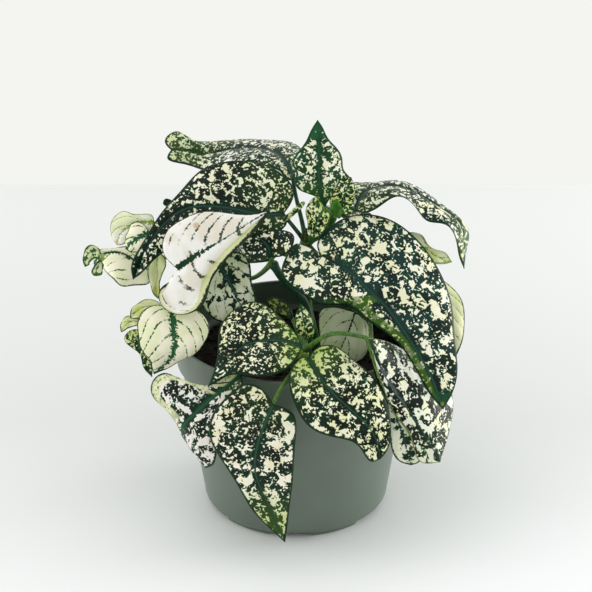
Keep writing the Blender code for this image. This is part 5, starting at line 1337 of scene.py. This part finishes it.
def makeStems():
    for order, (name, stem) in enumerate(stems.items()):
        foot = potAxis + (stem["foot"][0] * mm, stem["foot"][1] * mm, 0)
        route = [foot + (0, 0, soilMake["top"] + rise) for rise in stemMake["footRise"]]
        route += alongPath(stem["path"])
        length = sum(np.linalg.norm(np.diff(np.array(route), axis=0), axis=1))
        path = smoothCurve(route, np.linspace(0, 1, round(length / stemMake["step"])))
        radii = np.full(len(path), stemMake["radius"])
        for point in stem["path"]:
            if isinstance(point, str):
                far = np.linalg.norm(path - nodePlace(point), axis=1)
                swell = (stemMake["node"] - stemMake["radius"]) * np.exp(-((far / stemMake["nodeHalf"]) ** 2))
                radii = np.maximum(radii, stemMake["radius"] + swell)
        closing = np.arange(len(path))[::-1]
        beyond = (stemMake["roundRings"] - closing).clip(0)
        radii = radii * np.sqrt(np.clip(1 - (beyond / (stemMake["roundRings"] + 0.2)) ** 2, 0.02, 1))
        tubes = [(path, radii)]
        for shoot in stem.get("shoots", []):
            rings = stemMake["shootRings"]
            curve = smoothCurve(alongPath(shoot), np.linspace(0, 1, rings))
            tubes.append((curve, np.full(rings, stemMake["shoot"])))
        points, faces = [], []
        for places, thickness in tubes:
            tube = sweptTube(places, thickness, stemMake["sides"], np.array([1.0, 0.2, 0.1]))
            faces.append(tubeFaces(len(places), stemMake["sides"]) + sum(len(p) for p in points))
            points.append(tube)
        skin = dressed("splashed", stemDress.get(name, "green"))[2]
        newPiece(name + "_stalks", np.concatenate(points), np.concatenate(faces), [skin], "stem_green",
                 [name])
        young = stem.get("young", []) + ([axilBud] if name == "stem_main" else [])
        for k, leaf in enumerate(young):
            curves, upper = leafCurves(leaf)
            thick = leaf.get("thick", 0.42) * mm
            seed = 70 + order * 9 + k * 2
            points, faces, slots, notes = leafBody(curves, upper, alongPath(leaf["stalk"]), thick, seed)
            newPiece(f"{name}_young_{k}", points, faces, dressed(youngDress[name][k], "green"), "stem_green",
                     [name], slots, notes)
    print("stage: stems and young leaves grown")


# A pale studio: a white floor that ends 38.5 cm behind the pot, a pale wall beyond, and soft lamps
studio = {
    "floorEnd": 0.385, "wall": "#f4f5f1", "light": "#f8f9f9", "front": 0.8, "back": 1.03,
    # the floor's colours paint shade in a band across the middle and light towards the front and the back
    "floor": {"middle": "#dfe1df", "far": "#e4e6e3", "farReach": (0.1, 0.35), "near": "#f8faf9",
              "nearReach": (0.08, -0.08)},
    "lamps": {
        "key": {"at": (-0.4, -0.35, 1.15), "size": 1.2, "power": 1.75, "colour": "#fff9f0"},
        "left side": {"at": (-0.9, 0.3, 0.2), "size": 0.45, "power": 3.0, "colour": "#ffffff"},
        "right side": {"at": (0.9, 0.3, 0.2), "size": 0.45, "power": 5.6, "colour": "#ffffff"},
    },
}


def makeStage():
    floorFinish = boardFinish()
    mesh = bpy.data.meshes.new("floor")
    back = potAxis[1] + studio["floorEnd"]
    mesh.from_pydata([(-3, -3, 0), (3, -3, 0), (3, back, 0), (-3, back, 0)], [], [(0, 1, 2, 3)])
    mesh.materials.append(floorFinish)
    floor = bpy.data.objects.new("floor", mesh)
    bpy.context.scene.collection.objects.link(floor)
    # the world: the studio's pale wall to the camera, and soft light that is weaker from the front
    world = bpy.data.worlds.new("studio")
    world.use_nodes = True
    world.node_tree.nodes.clear()
    tree = world.node_tree
    way = addNode(tree, "TexCoord").outputs["Generated"]
    front = addNode(tree, "SeparateXYZ", None, {0: way}).outputs[1]
    strength = addNode(tree, "MapRange", None, {
        "Value": front, "From Min": -1.0, "From Max": 1.0, "To Min": studio["front"],
        "To Max": studio["back"]}).outputs[0]
    glow = addNode(tree, "Background", None, {"Color": studio["light"], "Strength": strength})
    wall = addNode(tree, "Background", None, {"Color": studio["wall"], "Strength": 1.0})
    ray = addNode(tree, "LightPath").outputs["Is Camera Ray"]
    both = addNode(tree, "MixShader", None, {0: ray, 1: glow.outputs[0], 2: wall.outputs[0]})
    addNode(tree, "OutputWorld", None, {0: both.outputs[0]})
    bpy.context.scene.world = world
    bpy.context.scene.view_settings.view_transform = "Standard"
    target = potAxis + (0, 0, 0.09)
    for label, lamp in studio["lamps"].items():
        light = bpy.data.lights.new(label, "AREA")
        light.size, light.energy = lamp["size"], lamp["power"]
        light.color = hexColour(lamp["colour"])[:3]
        holder = bpy.data.objects.new(label, light)
        holder.location = lamp["at"]
        holder.rotation_euler = (Vector(target) - holder.location).to_track_quat("-Z", "Y").to_euler()
        bpy.context.scene.collection.objects.link(holder)


makeCamera()
makeLeaves()
makeStems()
makePot()
makeSoil()
makeStage()
